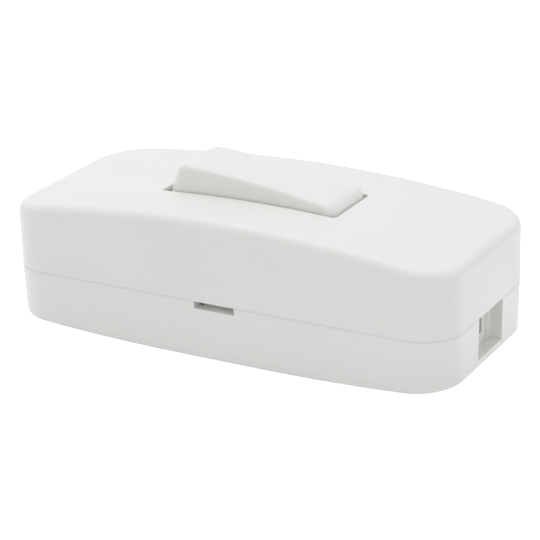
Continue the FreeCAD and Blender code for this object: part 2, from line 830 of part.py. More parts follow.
def driver_slot(x, y, radius, top):
    """The slot across a screw's top."""
    return box(x - radius, x + radius, y - slot_width / 2.0, y + slot_width / 2.0, top - slot_depth, top)


def terminal_screw(end, side):
    """The headless screw of a box terminal, backed off to leave the wire opening free."""
    x = end * terminal_distance
    y = side * terminal_offset
    low = terminal_seat + wire_hole_height + wire_hole_half - terminal_screw_dip
    top = terminal_seat + terminal_height + terminal_screw_lift
    radius = terminal_thread_radius - screw_gap
    return faceted_bar(x, y, low, top, radius).cut(driver_slot(x, y, radius, top))


def cord_clamp(end):
    """The strap over the cord: two flat ears and an arch with a grip ridge inside."""
    x_low = end * clamp_distance - clamp_width / 2.0
    outer = clamp_passage_radius + clamp_thickness
    ears = box(x_low, x_low + clamp_width, -clamp_half_span, clamp_half_span,
               boss_height, boss_height + clamp_thickness)
    uprights = [e for e in ears.Edges if abs(e.tangentAt(e.FirstParameter).z) > 0.99]
    ears = ears.makeChamfer(clamp_corner, uprights)
    arch = Part.makeCylinder(outer, clamp_width, at(x_low, 0, boss_height), X)
    upper = box(x_low, x_low + clamp_width, -outer, outer, boss_height, boss_height + outer)
    strap = joined([ears, arch.common(upper)])
    passage = Part.makeCylinder(clamp_passage_radius, clamp_width, at(x_low, 0, boss_height), X)
    holes = [faceted_bar(end * clamp_distance, side * clamp_screw_offset, boss_height, big,
                         clamp_thread_radius + clamp_hole_gap) for side in (-1, 1)]
    strap = strap.cut([passage] + holes)
    ridge_x = end * clamp_distance - clamp_ridge_width / 2.0
    passage_top = boss_height + clamp_passage_radius
    rib = box(ridge_x, ridge_x + clamp_ridge_width, -clamp_ridge_half, clamp_ridge_half,
              passage_top - clamp_ridge, passage_top + clamp_thickness / 2.0)
    return joined([strap, rib])


def clamp_screw(end, side):
    """A slotted cheese-head screw that holds a cord clamp down on its boss."""
    x = end * clamp_distance
    y = side * clamp_screw_offset
    seat = boss_height + clamp_thickness
    shank = faceted_bar(x, y, seat - clamp_screw_length, seat, clamp_thread_radius)
    head = faceted_bar(x, y, seat, seat + clamp_screw_head, clamp_screw_head_radius)
    slot = driver_slot(x, y, clamp_screw_head_radius, seat + clamp_screw_head)
    return joined([shank, head]).cut(slot)


def all_nodes():
    """Every piece of the switch by name."""
    sides = {"front": -1, "rear": 1}
    ends = {"supply": -1, "load": 1}
    nodes = {"base_shell": base_shell(), "upper_cover": upper_cover(), "rocker": rocker()}
    for side_name, side in sides.items():
        nodes[side_name + "_plunger"] = plunger(side)
        nodes[side_name + "_spring"] = spring(side)
        nodes[side_name + "_blade"] = blade(side)
        nodes[side_name + "_moving_contact"] = moving_contact(side)
        nodes[side_name + "_fixed_contact"] = fixed_contact(side)
        nodes[side_name + "_fulcrum_strip"] = fulcrum_strip(side)
        nodes[side_name + "_contact_strip"] = contact_strip(side)
        for end_name, end in ends.items():
            nodes[side_name + "_" + end_name + "_terminal"] = terminal_block(end, side)
            nodes[side_name + "_" + end_name + "_screw"] = terminal_screw(end, side)
            nodes[side_name + "_" + end_name + "_clamp_screw"] = clamp_screw(end, side)
    for end_name, end in ends.items():
        nodes[end_name + "_cord_clamp"] = cord_clamp(end)
    return nodes


os.makedirs("parts", exist_ok=True)
for name, shape in all_nodes().items():
    shape.exportStep(os.path.join("parts", name + ".step"))
    print(name, shape.isValid(), len(shape.Solids), round(shape.Volume, 2))
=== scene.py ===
"""Looks of an in-line cord switch: mouldings, springs, screws, finishes, stage, lights and camera.

Lengths in the sub-assembly classes are millimetres in the switch's own frame (+X load end, +Y rear
side, +Z up) and become metres when a mesh is made. An end is -1 for the supply end or 1 for the
load end, and a side is -1 for the front or 1 for the rear.
"""

import logging
import math
from dataclasses import dataclass, field
from enum import Enum
from typing import Callable, Iterable, Sequence

import bmesh
import bpy
from mathutils import Matrix, Vector


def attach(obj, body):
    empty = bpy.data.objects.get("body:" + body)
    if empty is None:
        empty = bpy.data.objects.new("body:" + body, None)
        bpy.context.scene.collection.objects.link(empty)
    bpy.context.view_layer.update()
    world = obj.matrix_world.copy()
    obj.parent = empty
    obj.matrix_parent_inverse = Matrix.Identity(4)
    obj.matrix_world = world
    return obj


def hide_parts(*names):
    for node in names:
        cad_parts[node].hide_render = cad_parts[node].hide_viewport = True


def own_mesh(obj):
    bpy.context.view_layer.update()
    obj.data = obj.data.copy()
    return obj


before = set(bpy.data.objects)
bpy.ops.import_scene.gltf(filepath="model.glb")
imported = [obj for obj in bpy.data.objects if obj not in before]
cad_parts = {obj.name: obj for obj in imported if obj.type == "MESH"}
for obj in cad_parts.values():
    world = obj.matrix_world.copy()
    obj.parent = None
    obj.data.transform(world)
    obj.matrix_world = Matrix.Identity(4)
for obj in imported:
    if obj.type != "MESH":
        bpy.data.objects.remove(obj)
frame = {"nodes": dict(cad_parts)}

Piece = bpy.types.Object
Node = bpy.types.Node
Ring = list[Vector]
Pair = tuple[float, float]
Triple = tuple[float, float, float]
Quad = tuple[float, float, float, float]
Block = tuple[Pair, Pair, Pair]
Surface = Callable[[float, float], tuple[float, Vector]]

LOG = logging.getLogger("cord_switch")
MM = 0.001
BOTH = (-1, 1)
CORNERS = tuple((end, side) for end in BOTH for side in BOTH)
UP = Vector((0.0, 0.0, 1.0))
QUARTER = math.pi / 2.0
WHITE = (1.0, 1.0, 1.0, 1.0)
CUT = 1.0  # a tool starts this far before the face that it cuts
LAP = 0.01  # the steps of one opening overlap by this
SHY = 0.02  # two faces that would lie in one plane are set this far apart
FAR = 60.0  # past the switch in every direction
NEAR = 1e-9  # points nearer than this along X, in metres, stand at one place
MERGE = 1e-7  # points nearer than this, in metres, become one


class Material(Enum):
    """The named finishes of the switch."""

    COVER = "cover_white"
    ROCKER = "rocker_white"
    CLAMP = "clamp_white"
    NATURAL = "plunger_natural"
    STEEL = "spring_steel"
    BRASS = "strip_brass"
    TERMINAL = "terminal_brass"
    SILVER = "contact_silver"
    SCREW = "screw_steel"


class Operation(Enum):
    """How tools act on a body."""

    UNION = "UNION"
    DIFFERENCE = "DIFFERENCE"


class NodeBench:
    """Lays nodes in one tree and joins them."""

    def __init__(self, owner: bpy.types.ID) -> None:
        """Start with an empty tree.

        Args:
            owner: The node tree, or the material or world that holds it.
        """
        if not isinstance(owner, bpy.types.NodeTree):
            owner.use_nodes = True
            owner = owner.node_tree
        self.tree = owner
        self.tree.nodes.clear()

    def add(self, kind: str, **settings: object) -> Node:
        """Lay one node.

        Args:
            kind: The node's type name.
            settings: Properties of the node, or values of its inputs by input name.

        Returns:
            The node.
        """
        node = self.tree.nodes.new(kind)
        for key, value in settings.items():
            if hasattr(node, key):
                setattr(node, key, value)
            else:
                node.inputs[key.replace("_", " ")].default_value = value
        return node

    def wire(self, *links: tuple[Node, str, Node, str | int]) -> None:
        """Join outputs to inputs, each link a node, its output, the next node and its input."""
        for source, output, target, entry in links:
            self.tree.links.new(source.outputs[output], target.inputs[entry])

    def show_instead(self, lit: Node, shown: Node, out: Node) -> None:
        """Show the camera, gloss and clear materials another shader than the one that lights.

        Args:
            lit: The shader for all other rays.
            shown: The shader that they see.
            out: The tree's output.
        """
        path = self.add("ShaderNodeLightPath")
        first = self.add("ShaderNodeMath", operation="MAXIMUM")
        second = self.add("ShaderNodeMath", operation="MAXIMUM")
        choose = self.add("ShaderNodeMixShader")
        self.wire((path, "Is Camera Ray", first, 0), (path, "Is Glossy Ray", first, 1),
                  (first, "Value", second, 0), (path, "Is Transmission Ray", second, 1),
                  (second, "Value", choose, "Fac"), (lit, lit.outputs[0].name, choose, 1),
                  (shown, shown.outputs[0].name, choose, 2), (choose, "Shader", out, "Surface"))


class FinishBench(NodeBench):
    """The tree of one finish, with the steps that all finishes share."""

    def __init__(self, name: str, **settings: object) -> None:
        """Start a finish.

        Args:
            name: The material's name.
            settings: Values of the shader's inputs.
        """
        self.material = bpy.data.materials.new(name)
        super().__init__(self.material)
        self.place = self.add("ShaderNodeTexCoord")
        self.shader = self.add("ShaderNodeBsdfPrincipled", **settings)
        self.wire((self.shader, "BSDF", self.add("ShaderNodeOutputMaterial"), "Surface"))

    def noise(self, scale: float, detail: float, roughness: float = 0.5,
              stretch: Triple | None = None) -> Node:
        """Lay noise on the piece's own coordinates.

        Args:
            scale: How fine it is.
            detail: How many finer layers it has.
            roughness: How strong they are.
            stretch: The scale along each axis, where they differ.

        Returns:
            The noise.
        """
        noise = self.add("ShaderNodeTexNoise", Scale=scale, Detail=detail, Roughness=roughness)
        source, output = self.place, "Object"
        if stretch:
            source, output = self.add("ShaderNodeMapping", Scale=stretch), "Vector"
            self.wire((self.place, "Object", source, "Vector"))
        self.wire((source, output, noise, "Vector"))
        return noise

    def tint(self, noise: Node, levels: Pair, tones: tuple[Triple, Triple]) -> None:
        """Let the colour run between two tones.

        Args:
            noise: What it follows.
            levels: Where each tone is reached.
            tones: The dark and the light tone.
        """
        ramp = self.add("ShaderNodeValToRGB")
        for stop, level, tone in zip(ramp.color_ramp.elements, levels, tones):
            stop.position, stop.color = level, tone + (1.0,)
        self.wire((noise, "Fac", ramp, "Fac"), (ramp, "Color", self.shader, "Base Color"))

    def grain(self, noise: Node, roughness: Pair, strength: float, depth: float) -> None:
        """Let roughness and relief follow one noise.

        Args:
            noise: What they follow.
            roughness: The lowest and highest roughness.
            strength: How much the relief turns the light.
            depth: The relief's depth in metres.
        """
        sheen = self.add("ShaderNodeMapRange", To_Min=roughness[0], To_Max=roughness[1])
        bump = self.add("ShaderNodeBump", Strength=strength, Distance=depth)
        self.wire((noise, "Fac", sheen, "Value"), (sheen, "Result", self.shader, "Roughness"),
                  (noise, "Fac", bump, "Height"), (bump, "Normal", self.shader, "Normal"))


class GeometryBench(NodeBench):
    """A geometry tree with named inputs, run on an empty piece."""

    def __init__(self, name: str, **inputs: str) -> None:
        """Start a geometry tree.

        Args:
            name: The tree's name.
            inputs: The kind of each named input.
        """
        super().__init__(bpy.data.node_groups.new(name, "GeometryNodeTree"))
        face = self.tree.interface
        face.new_socket("Geometry", in_out="OUTPUT", socket_type="NodeSocketGeometry")
        for key, kind in inputs.items():
            face.new_socket(key.replace("_", " "), in_out="INPUT", socket_type="NodeSocket" + kind)
        self.start = self.add("NodeGroupInput")

    def end(self, source: Node, output: str, material: bpy.types.Material) -> None:
        """Make instances real, give them their finish and hand them out.

        Args:
            source: The node that gives the geometry.
            output: Its output.
            material: The finish.
        """
        real = self.add("GeometryNodeRealizeInstances")
        paint = self.add("GeometryNodeSetMaterial", Material=material)
        self.wire((source, output, real, "Geometry"), (real, "Geometry", paint, "Geometry"),
                  (paint, "Geometry", self.add("NodeGroupOutput"), "Geometry"))

    def run(self, name: str, values: dict[str, object]) -> Piece:
        """Run the tree and keep the plain mesh that it makes.

        Args:
            name: The piece's name.
            values: What each input gets.

        Returns:
            The piece.
        """
        piece = Workshop.place(name, bpy.data.meshes.new(name))
        maker = piece.modifiers.new("maker", "NODES")
        maker.node_group = self.tree
        for socket in self.tree.interface.items_tree:
            if socket.in_out == "INPUT":
                maker[socket.identifier] = values[socket.name]
        Workshop.bake(piece)
        return piece


@dataclass(frozen=True)
class MouldedPlastic:
    """Satin thermoplastic with the fine spark texture and slight tone changes of a moulding."""

    colour: Triple
    roughness: float = 0.42
    roughness_change: float = 0.05
    ior: float = 1.5
    flow: Pair = (45.0, 3.0)  # scale and detail of the noise
    flow_levels: Pair = (0.3, 0.7)
    tone_change: float = 0.012
    spark: Triple = (5200.0, 4.0, 0.6)  # scale, detail and roughness of the noise
    spark_strength: float = 0.35
    spark_depth: float = 0.000012
    glow: float = 0.25
    glow_radius: Triple = (0.6, 0.6, 0.55)
    glow_depth: float = 0.0012

    def build(self, name: str) -> bpy.types.Material:
        """Make the material.

        Args:
            name: The material's name.

        Returns:
            The finished material.
        """
        bench = FinishBench(name, IOR=self.ior, Subsurface_Weight=self.glow,
                            Subsurface_Radius=self.glow_radius, Subsurface_Scale=self.glow_depth)
        dark = tuple(c * (1.0 - self.tone_change) for c in self.colour)
        light = tuple(min(1.0, c * (1.0 + self.tone_change)) for c in self.colour)
        bench.tint(bench.noise(*self.flow), self.flow_levels, (dark, light))
        matt, gloss = self.roughness + self.roughness_change, self.roughness - self.roughness_change
        bench.grain(bench.noise(*self.spark), (gloss, matt), self.spark_strength, self.spark_depth)
        return bench.material


@dataclass(frozen=True)
class BareMetal:
    """Stamped, drawn or turned metal with drawing lines along one axis and a faint tarnish."""

    colour: Triple
    tarnish: Triple
    roughness: float = 0.3
    roughness_change: Pair = (-0.08, 0.1)
    cloud: Pair = (260.0, 4.0)  # scale and detail of the noise
    cloud_levels: Pair = (0.35, 0.6)
    line: Pair = (1.0, 3.0)
    line_stretch: Triple = (60.0, 2200.0, 2200.0)
    line_strength: float = 0.4
    line_depth: float = 0.000006

    def build(self, name: str) -> bpy.types.Material:
        """Make the material.

        Args:
            name: The material's name.

        Returns:
            The finished material.
        """
        bench = FinishBench(name, Metallic=1.0)
        gloss, matt = (self.roughness + change for change in self.roughness_change)
        bench.grain(bench.noise(*self.line, stretch=self.line_stretch), (gloss, matt),
                    self.line_strength, self.line_depth)
        bench.tint(bench.noise(*self.cloud), self.cloud_levels, (self.tarnish, self.colour))
        return bench.material


@dataclass
class FinishShelf:
    """All finishes of the switch, made once and handed out by name."""

    recipes: dict[Material, MouldedPlastic | BareMetal] = field(default_factory=lambda: {
        Material.COVER: MouldedPlastic((0.868, 0.871, 0.85)),
        Material.ROCKER: MouldedPlastic((0.868, 0.871, 0.85), 0.38),
        Material.CLAMP: MouldedPlastic((0.78, 0.78, 0.76), 0.45),
        Material.NATURAL: MouldedPlastic((0.70, 0.66, 0.56), 0.4),
        Material.STEEL: BareMetal((0.60, 0.61, 0.62), (0.45, 0.46, 0.48), 0.28),
        Material.BRASS: BareMetal((0.80, 0.62, 0.32), (0.66, 0.47, 0.22), 0.3),
        Material.TERMINAL: BareMetal((0.78, 0.60, 0.31), (0.62, 0.45, 0.21), 0.34),
        Material.SILVER: BareMetal((0.88, 0.87, 0.84), (0.74, 0.73, 0.70), 0.3),
        Material.SCREW: BareMetal((0.70, 0.71, 0.73), (0.58, 0.58, 0.57), 0.26),
    })
    made: dict[Material, bpy.types.Material] = field(default_factory=dict)

    def get(self, which: Material) -> bpy.types.Material:
        """Hand out a finish, making it on first use.

        Args:
            which: The finish that is wanted.

        Returns:
            The Blender material.
        """
        if which not in self.made:
            self.made[which] = self.recipes[which].build(which.value)
        return self.made[which]


@dataclass(frozen=True)
class Sample:
    """A point of an outline with the direction that faces outwards."""

    x: float
    y: float
    nx: float
    ny: float


@dataclass(frozen=True)
class Outline:
    """A rectangle with round corners, sampled so that it mirrors exactly across Y."""

    half_x: float
    half_y: float
    radius: float
    along_x: int = 48
    along_y: int = 5
    corner: int = 14

    def samples(self) -> list[Sample]:
        """Walk once round the outline, starting at the load end on the X axis.

        Returns:
            The samples, so that sample i mirrors sample count - i.
        """
        cx, cy = self.half_x - self.radius, self.half_y - self.radius
        walk = [Sample(self.half_x, cy * i / self.along_y, 1.0, 0.0) for i in range(self.along_y)]
        for end, first in ((1.0, 0.0), (-1.0, 1.0)):
            for i in range(self.corner):
                turn = QUARTER * (first + i / self.corner)
                c, s = math.cos(turn), math.sin(turn)
                walk.append(Sample(end * cx + self.radius * c, cy + self.radius * s, c, s))
            if end > 0.0:
                walk += [Sample(cx - 2.0 * cx * i / self.along_x, self.half_y, 0.0, 1.0)
                         for i in range(self.along_x)]
        walk += [Sample(-self.half_x, cy * (1.0 - i / self.along_y), -1.0, 0.0)
                 for i in range(self.along_y + 1)]
        return walk + [Sample(p.x, -p.y, p.nx, -p.ny) for p in walk[-2:0:-1]]


class Skin:
    """Skins rings of equal count to a closed mesh."""

    def __init__(self) -> None:
        """Start with no rings."""
        self.mesh = bmesh.new()
        self.rings: list[list[bmesh.types.BMVert]] = []

    @staticmethod
    def circle(radius: float, z: float, sides: int) -> Ring:
        """A level circle round the Z axis."""
        turns = [2.0 * math.pi * i / sides for i in range(sides)]
        return [Vector((radius * math.cos(a), radius * math.sin(a), z)) for a in turns]

    def add(self, ring: Ring) -> None:
        """Add a ring and skin it to the one before.

        Args:
            ring: Its points in order.
        """
        verts = [self.mesh.verts.new(p * MM) for p in ring]
        if self.rings:
            last = self.rings[-1]
            for i in range(len(verts)):
                j = (i + 1) % len(verts)
                self.mesh.faces.new((last[i], last[j], verts[j], verts[i]))
        self.rings.append(verts)

    def close(self, *indices: int) -> None:
        """Close rings with one flat face each."""
        for index in indices:
            self.mesh.faces.new(self.rings[index])

    def close_ladder(self) -> None:
        """Close the last ring with rungs across Y, for a cap whose height depends on X only."""
        ring = self.rings[-1]
        half = len(ring) // 2
        first = max(i for i in range(half) if abs(ring[i].co.x - ring[0].co.x) < NEAR)
        last = min(i for i in range(half + 1) if abs(ring[i].co.x - ring[half].co.x) < NEAR)
        self.mesh.faces.new([ring[i] for i in range(-first - 1, first + 2)])
        for i in range(first + 1, last - 1):
            self.mesh.faces.new((ring[i], ring[i + 1], ring[-i - 1], ring[-i]))
        self.mesh.faces.new([ring[i] for i in range(last - 1, len(ring) - last + 2)])

    def finish(self, name: str) -> Piece:
        """Turn the skin to an object.

        Args:
            name: The object's name.

        Returns:
            The object, with its faces outwards.
        """
        bmesh.ops.recalc_face_normals(self.mesh, faces=self.mesh.faces)
        data = bpy.data.meshes.new(name)
        self.mesh.to_mesh(data)
        self.mesh.free()
        return Workshop.place(name, data)


class Workshop:
    """Shared mesh work: placing, joining, cutting and smoothing."""

    bar_sides = 48
    sharp_angle = math.radians(40.0)

    @staticmethod
    def place(name: str, data: bpy.types.ID) -> Piece:
        """Put a mesh, a light or a camera in the scene.

        Args:
            name: The object's name.
            data: What it shows.

        Returns:
            The new object.
        """
        thing = bpy.data.objects.new(name, data)
        bpy.context.scene.collection.objects.link(thing)
        return thing

    @staticmethod
    def discard(piece: Piece) -> None:
        """Take a piece and its mesh away.

        Args:
            piece: What isn't needed any more.
        """
        data = piece.data
        bpy.data.objects.remove(piece)
        bpy.data.meshes.remove(data)

    @staticmethod
    def boxes(*blocks: Block) -> list[Piece]:
        """Blocks that are only tools or ribs of a larger piece.

        Args:
            blocks: Each block's ranges along X, Y and Z, either way round.

        Returns:
            The blocks.
        """
        made = []
        for x, y, z in (map(sorted, block) for block in blocks):
            plan = [(x[0], y[0]), (x[1], y[0]), (x[1], y[1]), (x[0], y[1])]
            made.append(Workshop.prism(plan, z, 2))
        return made

    @staticmethod
    def post(base: Vector, axis: Vector, radius: float, height: float) -> Piece:
        """A round bar, used only as a tool or a part of a larger piece.

        Args:
            base: The centre of its lower end.
            axis: The direction it runs in.
            radius: Its radius.
            height: Its length.

        Returns:
            The bar.
        """
        turn = axis.to_track_quat("Z", "Y").to_matrix()
        skin = Skin()
        for z in (0.0, height):
            skin.add([base + turn @ p for p in Skin.circle(radius, z, Workshop.bar_sides)])
        skin.close(0, -1)
        return skin.finish("bar")

    @staticmethod
    def prism(profile: Sequence[Pair], span: Sequence[float], axis: int) -> Piece:
        """A closed profile run along one axis.

        Args:
            profile: Points in the plane across the axis, their two values in the order X, Y, Z.
            span: Where the run starts and ends.
            axis: 0 for X, 1 for Y, 2 for Z.

        Returns:
            The prism.
        """
        skin = Skin()
        for place in span:
            skin.add([Vector(point[:axis] + (place,) + point[axis:]) for point in profile])
        skin.close(0, -1)
        return skin.finish("prism")

    @staticmethod
    def bake(piece: Piece) -> None:
        """Turn a piece's modifiers to plain mesh and take them off.

        Args:
            piece: The piece.
        """
        bpy.context.view_layer.update()
        graph = bpy.context.evaluated_depsgraph_get()
        data = bpy.data.meshes.new_from_object(piece.evaluated_get(graph), depsgraph=graph)
        piece.modifiers.clear()
        old, piece.data = piece.data, data
        bpy.data.meshes.remove(old)

    @staticmethod
    def work(body: Piece, tools: Iterable[Piece], how: Operation) -> None:
        """Join tools to a body or cut them out of it; the tools are used up.

        Args:
            body: The piece that is changed.
            tools: The blocks that act on it.
            how: Whether they are joined or cut away.
        """
        for tool in tools:
            change = body.modifiers.new("tool", "BOOLEAN")
            change.operation = how.value
            change.solver = "EXACT"
            change.object = tool
            Workshop.bake(body)
            Workshop.discard(tool)

    @staticmethod
    def smooth(body: Piece) -> None:
        """Shade a piece smooth between its sharp edges.

        Args:
            body: The piece.
        """
        body.data.shade_smooth()
        body.data.set_sharp_from_angle(angle=Workshop.sharp_angle)
        weighted = body.modifiers.new("normals", "WEIGHTED_NORMAL")
        weighted.keep_sharp = True
        Workshop.bake(body)

    @staticmethod
    def shift(piece: Piece, move: Matrix) -> None:
        """Move a piece's mesh by a matrix in millimetres."""
        piece.data.transform(Matrix.Scale(MM, 4) @ move @ Matrix.Scale(1.0 / MM, 4))

    @staticmethod
    def dress(body: Piece, name: str, material: bpy.types.Material) -> None:
        """Name a finished piece and give it its finish.

        Args:
            body: The piece.
            name: The name it is kept under.
            material: Its finish.
        """
        body.name = body.data.name = name
        body.data.materials.clear()
        body.data.materials.append(material)


@dataclass(frozen=True)
class HousingForm:
    """The outer form that both mouldings share."""

    half_length: float = 40.0
    half_width: float = 17.35
    corner_radius: float = 6.9
    parting: float = 9.75
    centre_height: float = 23.6
    top_drop: float = 3.35
    bottom_rise: float = 1.4
    land_half: float = 7.0
    base_draft: float = 1.0
    side_wall: float = 1.9
    end_wall: float = 2.1
    parting_edge: float = 0.08
    parting_steps: int = 3
    wall_shares: Triple = (0.04, 0.5, 0.96)
    edge_steps: int = 9

    @property
    def top_radius(self) -> float:
        """Radius of the arched top."""
        return (self.half_length ** 2 + self.top_drop ** 2) / (2.0 * self.top_drop)

    @property
    def bottom_radius(self) -> float:
        """Radius of the arcs at both ends of the bottom."""
        run = self.half_length - self.land_half
        return (run ** 2 + self.bottom_rise ** 2) / (2.0 * self.bottom_rise)

    def top_at(self, x: float, inset: float) -> tuple[float, Vector]:
        """Height and facing of the arch, lowered by an inset.

        Args:
            x: The place along the switch.
            inset: How far under the arch.

        Returns:
            The height there and the direction that faces up from it.
        """
        radius = self.top_radius - inset
        rise = math.sqrt(radius ** 2 - x ** 2)
        facing = Vector((x / radius, 0.0, rise / radius))
        return self.centre_height - self.top_radius + rise, facing

    def bottom_at(self, x: float, inset: float) -> tuple[float, Vector]:
        """Height and facing of the bottom, raised by an inset.

        Args:
            x: The place along the switch.
            inset: How far above the bottom.

        Returns:
            The height there and the direction that faces down from it.
        """
        run = abs(x) - self.land_half
        if run <= 0.0:
            return inset, -UP
        radius = self.bottom_radius - inset
        drop = math.sqrt(radius ** 2 - run ** 2)
        facing = Vector((math.copysign(run, x) / radius, 0.0, -drop / radius))
        return self.bottom_radius - drop, facing

    def outline(self, inset: float, z: float, walled: bool = False) -> list[Sample]:
        """The housing's plan at a height, inset by a wall or an edge radius.

        Args:
            inset: How far inside the outer face at the sides.
            z: The height, which sets the base's draft.
            walled: Whether the ends are inset by the end wall's extra thickness too.

        Returns:
            The samples of the plan.
        """
        lean = max(0.0, self.parting - z) * math.tan(math.radians(self.base_draft))
        extra = self.end_wall - self.side_wall if walled else 0.0
        return Outline(self.half_length - inset - extra - lean, self.half_width - inset - lean,
                       self.corner_radius - inset).samples()

    def outer_block(self, edge: float, surface: Surface, rim: float) -> Piece:
        """A closed half of the housing, from the parting line to its rounded rim and its cap.

        Args:
            edge: The radius that runs round the rim.
            surface: Gives the cap's height and facing.
            rim: A typical height of the rim, for the draft.

        Returns:
            The solid block.
        """
        away = 1.0 if rim > self.parting else -1.0
        start = self.outline(0.0, self.parting)
        skin = Skin()
        for i in range(self.parting_steps + 1):
            turn = QUARTER * i / self.parting_steps
            back = self.parting_edge * (1.0 - math.sin(turn))
            level = self.parting + away * self.parting_edge * (1.0 - math.cos(turn))
            skin.add([Vector((p.x - p.nx * back, p.y - p.ny * back, level)) for p in start])
        seats = []
        for p in self.outline(edge, rim):
            height, cap = surface(p.x, edge)
            seats.append((Vector((p.x, p.y, height)), Vector((p.nx, p.ny, 0.0)), cap))
        low = [Vector((p.x, p.y, self.parting + away * self.parting_edge)) for p in start]
        for share in self.wall_shares:
            skin.add([a.lerp(c + n * edge, share) for a, (c, n, _) in zip(low, seats)])
        for i in range(self.edge_steps + 1):
            skin.add([c + n.slerp(cap, i / self.edge_steps) * edge for c, n, cap in seats])
        skin.close(0)
        skin.close_ladder()
        return skin.finish("outer")

    def inner_block(self, level: float, height: Callable[[float], float]) -> Piece:
        """A closed block inside the housing's walls, from one level to a surface over it.

        Args:
            level: The level of its first end.
            height: Gives the height of its far end at a place along X.

        Returns:
            The solid block.
        """
        skin = Skin()
        skin.add([Vector((p.x, p.y, level)) for p in self.outline(self.side_wall, level, True)])
        skin.add([Vector((p.x, p.y, height(p.x)))
                  for p in self.outline(self.side_wall, height(0.0), True)])
        skin.close(0)
        skin.close_ladder()
        return skin.finish("inner")

    def ring(self, profile: Sequence[Pair]) -> Piece:
        """A straight ring that follows the housing's plan.

        Args:
            profile: Its closed section, as insets and levels.

        Returns:
            The ring.
        """
        skin = Skin()
        for inset, level in (*profile, profile[0]):
            skin.add([Vector((p.x, p.y, level)) for p in self.outline(inset, self.parting, True)])
        bmesh.ops.remove_doubles(skin.mesh, verts=skin.mesh.verts, dist=MERGE)
        return skin.finish("ring")


